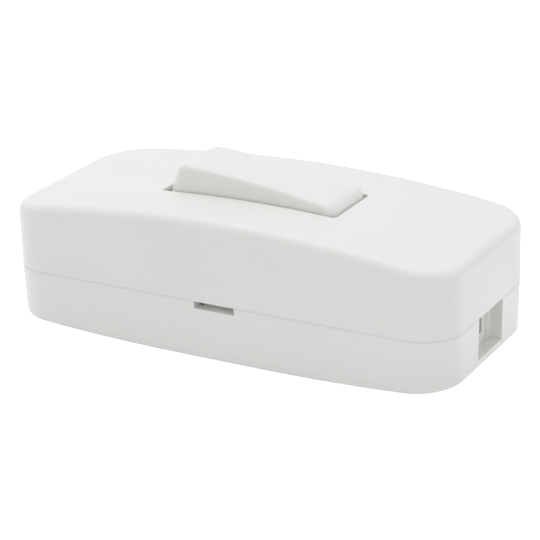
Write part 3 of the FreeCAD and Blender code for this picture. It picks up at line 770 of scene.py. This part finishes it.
@dataclass
class BaseShell:
    """The lower moulding: tray, lip, inlets, contact deck, terminal nests and clamp seats."""

    form: HousingForm
    edge: float = 0.45
    floor: float = 1.5
    sill: float = 2.7
    lip_gap: float = 0.1
    lip_wall: float = 0.9
    lip_height: float = 1.2
    lip_root: float = 1.8
    lip_seat: float = 1.0
    deck: float = 2.0
    upper_deck: float = 3.16
    deck_end: float = 25.68
    deck_lap: float = 0.2
    deck_side: float = 7.2
    steps_at: Pair = (9.16, 13.96)  # supply end, load end
    divider: Pair = (0.6, 8.6)  # half its wall, top
    lane: Quad = (12.5, 5.2, 6.2, 7.4)  # reach, inner face, outer face, top
    gusset: Quad = (1.0, 6.1, 16.15, 5.0)  # wall, from, to, top
    terminal: Pair = (21.08, 3.6)
    nest: Quad = (3.3, 4.3, 2.6, 3.6)  # inner and outer face along X, then along Y
    nest_stub: float = 1.0
    nest_height: float = 3.4
    clamp_x: float = 31.0
    clamp_width: float = 5.6
    boss: Quad = (9.3, 2.7, 6.8, 1.2)  # place, half width, top, foot of its hole
    screw_hole: float = 1.35
    tooth: Pair = (0.8, 0.7)  # rise, wall
    inlet: Pair = (4.65, 3.5)  # half widths of mouth and throat
    throat_depth: float = 0.4
    pocket_depth: float = 1.3
    pocket_half: float = 6.3
    gate_wall: float = 1.0
    gate_rise: float = 0.75
    web: Triple = (0.6, 2.05, 1.8)  # wall, half its slit, the slit's rise
    inlet_frame: Triple = (1.2, 0.5, 0.8)  # wall, below the parting line, into the end wall
    slot: Pair = (3.65, 1.2)  # half width, depth
    passage: Pair = (3.6, 3.6)  # half width, foot
    pocket: Triple = (4.3, 5.95, 16.05)  # low, high, how far out

    @property
    def low(self) -> float:
        """A level inside the floor, at which what stands on it starts."""
        return self.floor - CUT / 2.0

    def wells(self) -> list[Piece]:
        """The room inside the tray: between the decks at full depth, less near both ends.

        Returns:
            The blocks that are cut away.
        """
        form = self.form
        room = form.inner_block(form.parting + CUT, lambda x: self.sill)
        middle = form.inner_block(form.parting, lambda x: self.floor)
        across = (-form.half_width, form.half_width)
        ends = [((end * self.deck_end, end * FAR), across, (0.0, FAR)) for end in BOTH]
        Workshop.work(middle, Workshop.boxes(*ends), Operation.DIFFERENCE)
        return [room, middle]

    def decks(self) -> list[Piece]:
        """The decks under the strips and the walls that keep the poles apart.

        Returns:
            The blocks that are joined to the tray.
        """
        low, end, high = self.low, self.deck_end + self.deck_lap, self.upper_deck
        supply_step, load_step = self.steps_at
        profile = [(-end, low), (end, low), (end, high), (load_step, high), (load_step, self.deck),
                   (-supply_step, self.deck), (-supply_step, high), (-end, high)]
        half, top = self.divider
        blocks = [((-self.deck_end, self.deck_end), (-half, half), (low, top))]
        reach, inner, outer, height = self.lane
        wall, near, far, rise = self.gusset
        for side in BOTH:
            blocks.append(((-reach, reach), (side * inner, side * outer), (low, height)))
            for end in BOTH:
                x = end * (reach - SHY)
                blocks.append(((x, x - end * wall), (side * near, side * far), (low, rise)))
        deck = Workshop.prism(profile, (-self.deck_side, self.deck_side), 1)
        return [deck, *Workshop.boxes(*blocks)]

    def nests(self) -> list[Piece]:
        """The low walls round each terminal.

        Returns:
            The blocks that are joined to the tray.
        """
        inner, outer, near, far = self.nest
        stub, far = near - self.nest_stub, far - SHY
        plan = [(-outer, stub), (-inner, stub), (-inner, near), (inner, near), (inner, stub),
                (outer, stub), (outer, far), (-outer, far)]
        span = (self.low, self.upper_deck + self.nest_height)
        at_x, at_y = self.terminal
        return [Workshop.prism([(end * at_x + x, side * (at_y + y)) for x, y in plan], span, 2)
                for end, side in CORNERS]

    def seats(self) -> list[Piece]:
        """The screw bosses and the teeth under the cord clamps.

        Returns:
            The blocks that are joined to the tray.
        """
        y_boss, half, height, _ = self.boss
        rise, wall = self.tooth
        low, width = self.sill - CUT / 2.0, self.inlet[1]
        blocks = []
        for end in BOTH:
            x = end * self.clamp_x
            for side in BOTH:
                y = side * y_boss
                blocks.append(((x - half, x + half), (y - half, y + half), (low, height)))
            for side in BOTH:
                place = x + side * (self.clamp_width - wall) / 2.0
                blocks.append(((place - wall / 2.0, place + wall / 2.0), (-width, width),
                               (low, self.sill + rise)))
        return Workshop.boxes(*blocks)

    @property
    def inlet_faces(self) -> Quad:
        """Distances of the end wall's inner face, the throat's, the pocket's and the gate's ends.

        Returns:
            The four distances from the middle.
        """
        wall = self.form.half_length - self.form.end_wall
        throat = wall - self.throat_depth
        pocket = throat - self.pocket_depth
        return wall, throat, pocket, pocket - self.gate_wall

    def inlet_frames(self) -> list[Piece]:
        """The thick frames behind both inlets.

        Returns:
            The blocks that are joined to the tray.
        """
        frame_wall, drop, lap = self.inlet_frame
        half = self.pocket_half + frame_wall
        wall, _, _, reach = self.inlet_faces
        levels = (self.sill - CUT / 2.0, self.form.parting - drop)
        return Workshop.boxes(*[((end * reach, end * (wall + lap)), (-half, half), levels)
                                for end in BOTH])

    def openings(self) -> list[Piece]:
        """Both stepped inlets with their break-out webs, the release slots, passages and holes.

        Returns:
            The blocks that are cut away.
        """
        wall, throat, pocket, reach = self.inlet_faces
        mouth, narrow = self.inlet
        web_wall, slit_half, slit_rise = self.web
        steps = [(wall, FAR, mouth, self.sill), (throat, wall + LAP, narrow, self.sill),
                 (throat - web_wall - LAP, throat + LAP, slit_half, self.sill + slit_rise),
                 (pocket, throat - web_wall, self.pocket_half, self.sill),
                 (reach - LAP, pocket + LAP, mouth, self.sill + self.gate_rise)]
        blocks = [((end * near, end * far), (-half, half), (sill, FAR))
                  for end in BOTH for near, far, half, sill in steps]
        inner = self.form.half_width - self.form.side_wall
        half, depth = self.slot
        way, foot = self.passage
        pocket_low, pocket_high, pocket_reach = self.pocket
        for side in BOTH:
            blocks += [((-half, half), (side * (inner - self.lip_gap), side * FAR),
                        (self.form.parting - depth, FAR)),
                       ((-way, way), (side * (inner - 2.0 * self.lip_wall), side * (inner + SHY)),
                        (foot, FAR)),
                       ((-way, way), (side * (inner - CUT), side * pocket_reach),
                        (pocket_low, pocket_high))]
        y_boss, _, top, bottom = self.boss
        holes = [Workshop.post(Vector((end * self.clamp_x, side * y_boss, bottom)), UP,
                               self.screw_hole, top) for end, side in CORNERS]
        return Workshop.boxes(*blocks) + holes

    def build(self, shelf: FinishShelf) -> Piece:
        """Make the moulding.

        Args:
            shelf: Where finishes come from.

        Returns:
            The finished piece.
        """
        form = self.form
        shell = form.outer_block(self.edge, form.bottom_at, self.floor)
        Workshop.work(shell, self.wells(), Operation.DIFFERENCE)
        outer, lip = self.lip_seat, form.side_wall + self.lip_gap
        inner, crest = lip + self.lip_wall, form.parting + self.lip_height
        root, rim = form.parting - self.lip_root, form.parting - LAP
        ring = form.ring([(outer, root), (outer, rim), (lip, rim), (lip, crest), (inner, crest),
                          (inner, root)])
        blocks = self.decks() + self.nests() + self.seats() + self.inlet_frames()
        Workshop.work(shell, [ring] + blocks, Operation.UNION)
        Workshop.work(shell, self.openings(), Operation.DIFFERENCE)
        Workshop.smooth(shell)
        Workshop.dress(shell, "base_moulding", shelf.get(Material.COVER))
        return shell


@dataclass
class UpperCover:
    """The upper moulding: arched shell, rocker opening, bearings, ribs and snap arms."""

    form: HousingForm
    edge: float = 1.7
    rim: float = 19.9
    roof: float = 2.0
    roof_lap: float = 0.6
    opening: Triple = (15.9, 6.0, 0.6)  # half length, half width, corner
    opening_edge: float = 0.22
    opening_steps: int = 5
    opening_land: float = 0.88
    opening_lap: float = 0.1
    opening_facets: int = 8
    relief: Triple = (1.6, 0.7, 0.3)  # reach, what is left of the roof, corner
    relief_facets: int = 4
    rail: Pair = (1.0, 2.6)  # wall, depth
    cheek: Triple = (4.4, 2.0, 2.8)  # reach, wall, drop
    pivot: float = 16.0
    bearing: float = 1.55
    bearing_lap: float = 0.5
    throat: float = 1.25
    hold_down: Quad = (23.18, 0.9, 5.9, 10.76)  # place, wall, half width, foot
    arm: Triple = (3.2, 0.25, 1.3)  # half width, gap, wall
    arm_levels: Triple = (4.6, 11.2, 15.2)  # foot, both ends of its root
    barb: Triple = (0.7, 1.2, 0.7)  # reach, height, lead

    def opening_tool(self) -> Piece:
        """The block that cuts the rocker's opening and rounds its upper edge.

        Returns:
            The block.
        """
        half_x, half_y, radius = self.opening
        edge, lap = self.opening_edge, self.opening_lap
        skin = Skin()

        def add(grow: float, level: Callable[[float], float]) -> None:
            """Add a ring of the opening, grown by an amount, at a level for each place along X."""
            plan = Outline(half_x + grow, half_y + grow, radius + grow, corner=self.opening_facets)
            skin.add([Vector((p.x, p.y, level(p.x))) for p in plan.samples()])

        add(0.0, lambda x: self.form.parting)
        add(0.0, lambda x: self.form.top_at(x, 0.0)[0] - self.opening_land)
        for i in range(self.opening_steps + 1):
            turn = QUARTER * i / self.opening_steps
            up = edge * (math.sin(turn) - 1.0)
            add(edge * (1.0 - math.cos(turn)), lambda x: self.form.top_at(x, 0.0)[0] + up)
        add(edge + lap, lambda x: self.form.top_at(x, 0.0)[0] + lap)
        add(edge + lap, lambda x: FAR)
        skin.close(0, -1)
        return skin.finish("opening")

    def relief_tool(self) -> Piece:
        """The block that thins the roof to a skin at both ends of the opening.

        Returns:
            The block.
        """
        reach, skin_wall, radius = self.relief
        plan = Outline(self.opening[0] + reach, self.opening[1], radius,
                       corner=self.relief_facets).samples()
        skin = Skin()
        skin.add([Vector((p.x, p.y, self.form.parting)) for p in plan])
        skin.add([Vector((p.x, p.y, self.form.top_at(p.x, skin_wall)[0])) for p in plan])
        skin.close(0)
        skin.close_ladder()
        return skin.finish("relief")

    def ribs(self) -> list[Piece]:
        """Rails and bearing cheeks along the opening, and the ribs over the terminals.

        Returns:
            The blocks that are joined to the shell.
        """
        half_x, half_y, _ = self.opening
        rail_wall, rail_depth = self.rail
        reach, wall, drop = self.cheek
        inner, thick, half, level = self.hold_down
        rail_low = self.form.top_at(half_x, 0.0)[0] - self.roof - rail_depth
        near = half_y - self.opening_lap
        roof = self.form.top_at(half_x, self.roof)[0] + self.roof_lap
        top = self.form.top_at(inner + thick, self.roof)[0] + self.roof_lap
        blocks = []
        for side in BOTH:
            blocks += [((-half_x, half_x), (side * near, side * (half_y + rail_wall)),
                        (rail_low, roof)),
                       ((-reach, reach), (side * near, side * (half_y + wall)),
                        (self.pivot - drop, roof))]
        blocks += [((end * inner, end * (inner + thick)), (-half, half), (level, top))
                   for end in BOTH]
        return Workshop.boxes(*blocks)

    def arms(self) -> list[Piece]:
        """Both snap arms with their barbs.

        Returns:
            The blocks that are joined to the shell.
        """
        half, gap, wall = self.arm
        foot, root_low, root_top = self.arm_levels
        reach, height, lead = self.barb
        outer = self.form.half_width - self.form.side_wall - gap
        inner, tip = outer - wall, outer + reach
        wall_mid = self.form.half_width - self.form.side_wall / 2.0
        points = [(inner, foot), (outer, foot), (tip, foot + lead), (tip, foot + height),
                  (outer, foot + height), (outer, root_low), (wall_mid, root_low),
                  (wall_mid, root_top), (inner, root_top)]
        return [Workshop.prism([(side * y, z) for y, z in points], (-half, half), 0)
                for side in BOTH]

    def build(self, shelf: FinishShelf) -> Piece:
        """Make the moulding.

        Args:
            shelf: Where finishes come from.

        Returns:
            The finished piece.
        """
        form = self.form
        shell = form.outer_block(self.edge, form.top_at, self.rim)
        hollow = form.inner_block(form.parting - CUT, lambda x: form.top_at(x, self.roof)[0])
        Workshop.work(shell, [hollow], Operation.DIFFERENCE)
        Workshop.work(shell, self.ribs() + self.arms(), Operation.UNION)
        cuts = [self.relief_tool(), self.opening_tool()]
        near, lap = self.opening[1] - self.bearing_lap, self.bearing_lap
        _, wall, drop = self.cheek
        for side in BOTH:
            cuts.append(Workshop.post(Vector((0.0, side * near, self.pivot)), Vector((0, side, 0)),
                                      self.bearing, wall + 2.0 * lap))
            cuts += Workshop.boxes(((-self.throat, self.throat),
                                    (side * near, side * (near + wall + 2.0 * lap)),
                                    (self.pivot - 2.0 * drop, self.pivot)))
        Workshop.work(shell, cuts, Operation.DIFFERENCE)
        Workshop.smooth(shell)
        Workshop.dress(shell, "cover_moulding", shelf.get(Material.COVER))
        return shell


@dataclass
class Rocker:
    """The rocker: crowned shell, stop lips, hubs, pins and the block with both spring bores."""

    pivot: float = 16.0
    half_tilt: float = 7.1
    half_length: float = 14.15
    end_lean: float = 12.0
    half_width: float = 5.75
    rise: float = 10.85
    crown: float = 165.0
    end_radius: float = 2.0
    edge: float = 0.75
    corner: float = 1.4
    corner_steps: int = 14
    knee_steps: int = 4
    end_steps: int = 12
    crown_steps: int = 48
    skirt: float = 1.76
    wall: float = 1.5
    roof: float = 1.8
    join: float = 0.4
    hub_gap: float = 0.001
    lip: Pair = (4.05, 0.9)  # reach, wall
    hub: Pair = (4.2, 2.4)  # half width, drop
    pin: Pair = (1.5, 2.0)  # radius, reach
    tower: Triple = (2.4, 5.4, 3.6)  # half length, half width, drop
    bore: Triple = (3.0, 1.7, 6.5)  # place, radius, top

    @property
    def stand(self) -> Matrix:
        """Turns the rocker's own frame to where it stands, load end pressed down."""
        turn = Matrix.Rotation(math.radians(self.half_tilt), 4, "Y")
        return Matrix.Translation(UP * self.pivot) @ turn

    def profile(self, inset: float, top_inset: float, end_radius: float,
                bottom: float) -> list[tuple[Vector, Vector, float]]:
        """The side profile from the foot of the load end over the crown to the other foot.

        Args:
            inset: How far inside the leaning ends.
            top_inset: How far under the crown.
            end_radius: Radius where an end meets the crown.
            bottom: The level of the foot.

        Returns:
            Points, each with the way it moves when an edge is rounded and with its share of the
            upright corners' radius.
        """
        lean = math.radians(self.end_lean)
        out = Vector((math.cos(lean), 0.0, math.sin(lean)))
        up = Vector((-out.z, 0.0, out.x))
        reach = self.half_length * out.x + self.rise * out.z - inset
        base, radius = self.rise - self.crown, self.crown - top_inset
        back = reach - end_radius
        climb = base * up.z + math.sqrt((radius - end_radius) ** 2 - (back - base * out.z) ** 2)
        centre = out * back + up * climb
        stop = math.atan2(centre.z - base, centre.x)
        foot = Vector(((reach - bottom * out.z) / out.x, 0.0, bottom))
        knee = centre + out * end_radius
        path = [(foot, Vector((1.0 / out.x, 0.0, 0.0)), 1.0)]
        path += [(foot.lerp(knee, i / self.knee_steps), out, 1.0)
                 for i in range(1, self.knee_steps)]
        for i in range(self.end_steps):
            share = i / self.end_steps
            a = lean + (stop - lean) * share
            n = Vector((math.cos(a), 0.0, math.sin(a)))
            path.append((centre + n * end_radius, n, 1.0 - share))
        mirrored = [(Vector((-p.x, 0.0, p.z)), Vector((-n.x, 0.0, n.z)), share)
                    for p, n, share in path[::-1]]
        for i in range(self.crown_steps + 1):
            a = stop + (math.pi - 2.0 * stop) * i / self.crown_steps
            n = Vector((math.cos(a), 0.0, math.sin(a)))
            path.append((UP * base + n * radius, n, 0.0))
        return path + mirrored

    def block(self, half_width: float, path: list[tuple[Vector, Vector, float]], edge: float = 0.0,
              corner: float = 0.0, steps: int = 0) -> Piece:
        """Run a profile across the rocker with its edges rounded.

        Args:
            half_width: Half the block's width.
            path: The side profile.
            edge: Radius of the rounding along the crown, or 0.
            corner: Radius of the upright corners, or 0.
            steps: Facets of the rounding.

        Returns:
            The solid block.
        """
        def cut_back(y: float, radius: float) -> float:
            """How far a rounding of this radius draws the profile in at a place across."""
            past = max(0.0, y - (half_width - radius))
            return radius - math.sqrt(max(0.0, radius ** 2 - past ** 2))

        turns = [QUARTER * i / max(1, steps) for i in range(steps + 1)]
        stations = [half_width - corner * (1.0 - math.cos(turn)) for turn in turns]
        stations += [-y for y in stations[::-1]]
        skin = Skin()
        for y in stations:
            low, high = cut_back(abs(y), edge), cut_back(abs(y), corner)
            skin.add([p - n * (low + (high - low) * share) + Vector((0.0, y, 0.0))
                      for p, n, share in path])
        skin.close(0, -1)
        return skin.finish("rocker")

    def build(self, shelf: FinishShelf) -> Piece:
        """Make the rocker where it stands.

        Args:
            shelf: Where finishes come from.

        Returns:
            The finished piece.
        """
        shell = self.block(self.half_width, self.profile(0.0, 0.0, self.end_radius, self.skirt),
                           self.edge, self.corner, self.corner_steps)
        hollow = self.block(self.half_width - self.wall,
                            self.profile(self.wall, self.roof, self.edge, self.skirt - CUT))
        Workshop.work(shell, [hollow], Operation.DIFFERENCE)
        reach, lip_wall = self.lip
        hub_half, hub_drop = self.hub
        tower_x, tower_y, tower_drop = self.tower
        radius, pin_reach = self.pin
        half, inner, join = self.half_width, self.half_width - self.wall, self.join
        blocks = [((end * (self.half_length + 2.0 * join), end * (self.half_length + reach)),
                   (-half, half), (self.skirt, self.skirt + lip_wall)) for end in BOTH]
        blocks += [((-hub_half, hub_half), (side * inner, side * (half - self.hub_gap)),
                    (-hub_drop, self.skirt + self.wall)) for side in BOTH]
        blocks.append(((-tower_x, tower_x), (-tower_y, tower_y),
                       (-tower_drop, self.rise - self.roof + join)))
        pins = [Workshop.post(Vector((0.0, side * (inner + join), 0.0)), Vector((0, side, 0)),
                              radius, pin_reach + self.wall - join) for side in BOTH]
        Workshop.work(shell, Workshop.boxes(*blocks) + pins, Operation.UNION)
        bore_y, bore_radius, bore_top = self.bore
        bores = [Workshop.post(Vector((0.0, side * bore_y, -tower_drop - CUT)), UP, bore_radius,
                               bore_top + tower_drop + CUT) for side in BOTH]
        Workshop.work(shell, bores, Operation.DIFFERENCE)
        Workshop.shift(shell, self.stand)
        Workshop.smooth(shell)
        Workshop.dress(shell, "rocker_moulding", shelf.get(Material.ROCKER))
        return shell


@dataclass
class Springs:
    """Both compression springs, wound by geometry nodes from their turns and sizes."""

    rocker: Rocker
    turns: float = 4.0
    radius: float = 1.2
    wire: float = 0.2
    low: float = 0.5
    space: float = 6.0
    travel: float = 0.5
    steps_per_turn: int = 40
    wire_sides: int = 12

    def winder(self, material: bpy.types.Material) -> GeometryBench:
        """The node tree that winds a spring.

        Args:
            material: The finish of the wire.

        Returns:
            The tree, with inputs for turns, radius, height and wire.
        """
        bench = GeometryBench("wind_spring", Turns="Float", Radius="Float", Height="Float",
                              Wire="Float")
        start = bench.start
        spiral = bench.add("GeometryNodeCurveSpiral", Resolution=self.steps_per_turn)
        circle = bench.add("GeometryNodeCurvePrimitiveCircle", Resolution=self.wire_sides)
        sweep = bench.add("GeometryNodeCurveToMesh", Fill_Caps=True)
        smooth = bench.add("GeometryNodeSetShadeSmooth")
        bench.wire((start, "Turns", spiral, "Rotations"), (start, "Height", spiral, "Height"),
                   (start, "Radius", spiral, "Start Radius"),
                   (start, "Radius", spiral, "End Radius"), (start, "Wire", circle, "Radius"),
                   (spiral, "Curve", sweep, "Curve"), (circle, "Curve", sweep, "Profile Curve"),
                   (sweep, "Mesh", smooth, "Geometry"))
        bench.end(smooth, "Geometry", material)
        return bench

    def build(self, shelf: FinishShelf) -> dict[str, Piece]:
        """Wind both springs where they stand.

        Args:
            shelf: Where finishes come from.

        Returns:
            The springs by side.
        """
        material = shelf.get(Material.STEEL)
        winder = self.winder(material)
        values = {"Turns": self.turns, "Radius": self.radius * MM, "Wire": self.wire * MM,
                  "Height": (self.space - 2.0 * self.wire) * MM}
        wound = {}
        for name, side in zip(("front", "rear"), BOTH):
            coil = winder.run(name + "_coil", values)
            seat = Vector((0.0, side * self.rocker.bore[0], self.low + self.wire))
            Workshop.shift(coil, self.rocker.stand @ Matrix.Translation(seat))
            Workshop.dress(coil, name + "_coil_spring", material)
            wound[name] = coil
        return wound

    def axis(self) -> Vector:
        """The direction along which the springs are pressed."""
        return (self.rocker.stand.to_3x3() @ UP).normalized()


@dataclass(frozen=True)
class ScrewForm:
    """One slotted screw that stands upright on its own axis."""

    radius: float
    pitch: float
    depth: float
    low: float
    high: float
    head: Pair | None = None  # radius, height
    slot: Pair = (0.6, 0.8)  # width, depth
    edge: float = 0.2
    sides: int = 32
    rings_per_turn: int = 8

    def thread_ring(self, z: float) -> Ring:
        """A ring of the thread, whose radius runs round with the helix.

        Args:
            z: The ring's level.

        Returns:
            Its points.
        """
        ring = []
        for i, point in enumerate(Skin.circle(1.0, z, self.sides)):
            turns = (z - self.low) / self.pitch - i / self.sides
            radius = self.radius - self.depth * (0.5 - 0.5 * math.cos(2.0 * math.pi * turns))
            ring.append(Vector((point.x * radius, point.y * radius, z)))
        return ring

    def build(self, name: str) -> Piece:
        """Lathe the screw and cut its slot.

        Args:
            name: The object's name.

        Returns:
            The screw, its axis on the origin.
        """
        core = self.radius - self.depth
        start, run = self.low + self.edge, self.high - self.low - 2.0 * self.edge
        count = int(run / self.pitch * self.rings_per_turn)
        skin = Skin()
        skin.add(Skin.circle(core - self.edge, self.low, self.sides))
        for i in range(count + 1):
            skin.add(self.thread_ring(start + run * i / count))
        skin.add(Skin.circle(core, self.high, self.sides))
        top = self.high
        if self.head:
            head_radius, head_height = self.head
            top += head_height
            skin.add(Skin.circle(head_radius, self.high, self.sides))
            for turn in (0.0, QUARTER / 2.0, QUARTER):
                skin.add(Skin.circle(head_radius - self.edge * (1.0 - math.cos(turn)),
                                     top - self.edge * (1.0 - math.sin(turn)), self.sides))
        skin.close(0, -1)
        bmesh.ops.triangulate(skin.mesh, faces=skin.mesh.faces)
        screw = skin.finish(name)
        width, depth = self.slot
        reach = 2.0 * self.radius + CUT
        Workshop.work(screw, Workshop.boxes(((-reach, reach), (-width / 2.0, width / 2.0),
                                             (top - depth, top + CUT))), Operation.DIFFERENCE)
        Workshop.smooth(screw)
        return screw


@dataclass
class ScrewSets:
    """The clamp and the terminal screws, each set out from one pattern by geometry nodes."""

    clamp: ScrewForm = ScrewForm(1.3, 0.9, 0.25, 1.8, 8.8, (2.6, 1.7))
    clamp_spacing: Pair = (62.0, 18.6)
    terminal: ScrewForm = ScrewForm(1.45, 0.5, 0.14, 7.66, 11.66)
    terminal_spacing: Pair = (42.16, 7.2)

    @staticmethod
    def setter(material: bpy.types.Material) -> GeometryBench:
        """The node tree that sets out four screws.

        Args:
            material: The screws' finish.

        Returns:
            The tree, with inputs for the pattern, both spacings and the seed of the slots' turns.
        """
        bench = GeometryBench("set_out_screws", Pattern="Object", Spacing_X="Float",
                              Spacing_Y="Float", Seed="Int")
        start = bench.start
        grid = bench.add("GeometryNodeMeshGrid", Vertices_X=2, Vertices_Y=2)
        pattern = bench.add("GeometryNodeObjectInfo")
        turn = bench.add("FunctionNodeRandomValue", data_type="FLOAT_VECTOR", Max=UP * math.pi)
        place = bench.add("GeometryNodeInstanceOnPoints")
        bench.wire((start, "Spacing X", grid, "Size X"), (start, "Spacing Y", grid, "Size Y"),
                   (start, "Pattern", pattern, "Object"), (start, "Seed", turn, "Seed"),
                   (grid, "Mesh", place, "Points"), (pattern, "Geometry", place, "Instance"),
                   (turn, "Value", place, "Rotation"))
        bench.end(place, "Instances", material)
        return bench

    def build(self, shelf: FinishShelf) -> dict[str, Piece]:
        """Set out both sets.

        Args:
            shelf: Where finishes come from.

        Returns:
            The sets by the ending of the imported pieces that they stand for.
        """
        material = shelf.get(Material.SCREW)
        setter = self.setter(material)
        sets = {}
        for seed, (ending, form, spacing) in enumerate((
                ("clamp_screw", self.clamp, self.clamp_spacing),
                ("screw", self.terminal, self.terminal_spacing))):
            pattern = form.build(ending + "_pattern")
            screws = setter.run(ending + "s", {"Pattern": pattern, "Spacing X": spacing[0] * MM,
                                               "Spacing Y": spacing[1] * MM, "Seed": seed})
            Workshop.discard(pattern)
            Workshop.dress(screws, ending + "s_slotted", material)
            sets[ending] = screws
        return sets


@dataclass
class Hardware:
    """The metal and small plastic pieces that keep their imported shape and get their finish."""

    finishes: dict[str, Material] = field(default_factory=lambda: {
        "plunger": Material.NATURAL,
        "blade": Material.BRASS,
        "fulcrum_strip": Material.BRASS,
        "contact_strip": Material.BRASS,
        "moving_contact": Material.SILVER,
        "fixed_contact": Material.SILVER,
        "cord_clamp": Material.CLAMP,
        "terminal": Material.TERMINAL,
    })

    def dress(self, nodes: dict[str, Piece], shelf: FinishShelf) -> int:
        """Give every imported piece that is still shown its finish.

        Args:
            nodes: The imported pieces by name.
            shelf: Where finishes come from.

        Returns:
            How many pieces were dressed.
        """
        shown = {name: piece for name, piece in nodes.items() if not piece.hide_render}
        for name, piece in shown.items():
            which = next(m for ending, m in self.finishes.items() if name.endswith(ending))
            piece.data.materials.clear()
            piece.data.materials.append(shelf.get(which))
        return len(shown)


@dataclass
class Studio:
    """The pale floor, the soft lights and the camera at the photograph's angle."""

    floor_reach: float = 1.5
    floor_drop: float = 0.00002
    floor_white: float = 0.9
    floor_glow: float = 0.94
    sky: float = 0.655
    lights: tuple[tuple[str, Triple, float, float], ...] = (
        ("top_light", (-0.15, 0.1, 0.75), 0.7, 2.0),
        ("end_light", (0.6, -0.15, 0.6), 0.5, 0.17),
    )
    lit_point: Triple = (0.0, 0.0, 0.01)
    azimuth: float = 29.449
    elevation: float = 21.548
    distance: float = 0.335452
    roll: float = -1.627
    lens: float = 135.882
    sensor: float = 36.0
    clip: Pair = (0.01, 10.0)
    target: Triple = (0.000628, 0.0, 0.009601)

    def floor(self) -> None:
        """Lay the floor: white to the camera, with the object's soft shadow."""
        reach = self.floor_reach
        data = bpy.data.meshes.new("floor")
        corners = [(x * reach, y * reach, 0.0) for x, y in ((-1, -1), (1, -1), (1, 1), (-1, 1))]
        data.from_pydata(corners, [], [(0, 1, 2, 3)])
        floor = Workshop.place("floor", data)
        floor.location.z = -self.floor_drop
        material = bpy.data.materials.new("studio_floor")
        bench = NodeBench(material)
        diffuse = bench.add("ShaderNodeBsdfDiffuse", Color=(self.floor_white,) * 3 + (1.0,))
        glow = bench.add("ShaderNodeEmission", Strength=self.floor_glow)
        both = bench.add("ShaderNodeAddShader")
        bench.wire((diffuse, "BSDF", both, 0), (glow, "Emission", both, 1))
        bench.show_instead(diffuse, both, bench.add("ShaderNodeOutputMaterial"))
        data.materials.append(material)

    def world(self) -> None:
        """Set the even sky light and the white that the camera sees behind the object."""
        world = bpy.data.worlds.new("studio_sky")
        bpy.context.scene.world = world
        bench = NodeBench(world)
        bench.show_instead(bench.add("ShaderNodeBackground", Color=WHITE, Strength=self.sky),
                           bench.add("ShaderNodeBackground", Color=WHITE, Strength=1.0),
                           bench.add("ShaderNodeOutputWorld"))

    def hang_lights(self) -> None:
        """Hang the soft square lights, each a name, its place and side in metres and its watts."""
        for name, place, size, power in self.lights:
            data = bpy.data.lights.new(name, "AREA")
            data.shape = "SQUARE"
            data.size, data.energy = size, power
            light = Workshop.place(name, data)
            light.location = place
            aim = Vector(self.lit_point) - Vector(place)
            light.rotation_euler = aim.to_track_quat("-Z", "Y").to_euler()

    def camera(self) -> None:
        """Set up the camera."""
        az, el, roll = (math.radians(v) for v in (self.azimuth, self.elevation, self.roll))
        back = Vector((math.sin(az) * math.cos(el), -math.cos(az) * math.cos(el), math.sin(el)))
        right = (-back).cross(UP).normalized()
        up = right.cross(-back)
        side = right * math.cos(roll) + up * math.sin(roll)
        head = up * math.cos(roll) - right * math.sin(roll)
        data = bpy.data.cameras.new("camera")
        data.lens, data.sensor_width = self.lens, self.sensor
        data.clip_start, data.clip_end = self.clip
        camera = Workshop.place("camera", data)
        turn = Matrix((side, head, back)).transposed().to_4x4()
        camera.matrix_world = Matrix.Translation(Vector(self.target) + back * self.distance) @ turn
        bpy.context.scene.camera = camera

    def build(self) -> None:
        """Set up camera, floor, sky and lights."""
        self.camera()
        self.floor()
        self.world()
        self.hang_lights()
        bpy.context.scene.view_settings.view_transform = "Standard"


def main() -> None:
    """Build every sub-assembly in order, put the pieces on their bodies and report them."""
    logging.basicConfig(level=logging.INFO, format="%(name)s: %(message)s")
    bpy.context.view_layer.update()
    studio = Studio()
    studio.build()
    LOG.info("studio set up")

    shelf = FinishShelf()
    form = HousingForm()
    base = BaseShell(form).build(shelf)
    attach(base, "housing")
    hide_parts("base_shell")
    LOG.info("base moulding: %d faces", len(base.data.polygons))

    cover = UpperCover(form).build(shelf)
    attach(cover, "housing")
    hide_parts("upper_cover")
    LOG.info("cover moulding: %d faces", len(cover.data.polygons))

    rocker = Rocker()
    rocker_piece = rocker.build(shelf)
    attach(rocker_piece, "rocker")
    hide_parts("rocker")
    LOG.info("rocker moulding: %d faces", len(rocker_piece.data.polygons))

    springs = Springs(rocker)
    for name, coil in springs.build(shelf).items():
        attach(coil, "rocker")
        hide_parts(name + "_spring")
        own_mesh(coil)
        LOG.info("%s spring: %d faces", name, len(coil.data.polygons))

    for ending, screws in ScrewSets().build(shelf).items():
        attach(screws, "housing")
        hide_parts(*(f"{side}_{end}_{ending}" for side in ("front", "rear")
                              for end in ("supply", "load")))
        LOG.info("%ss: %d faces", ending, len(screws.data.polygons))

    count = Hardware().dress(frame["nodes"], shelf)
    LOG.info("packed pieces dressed: %d", count)


if __name__ == "__main__":
    main()
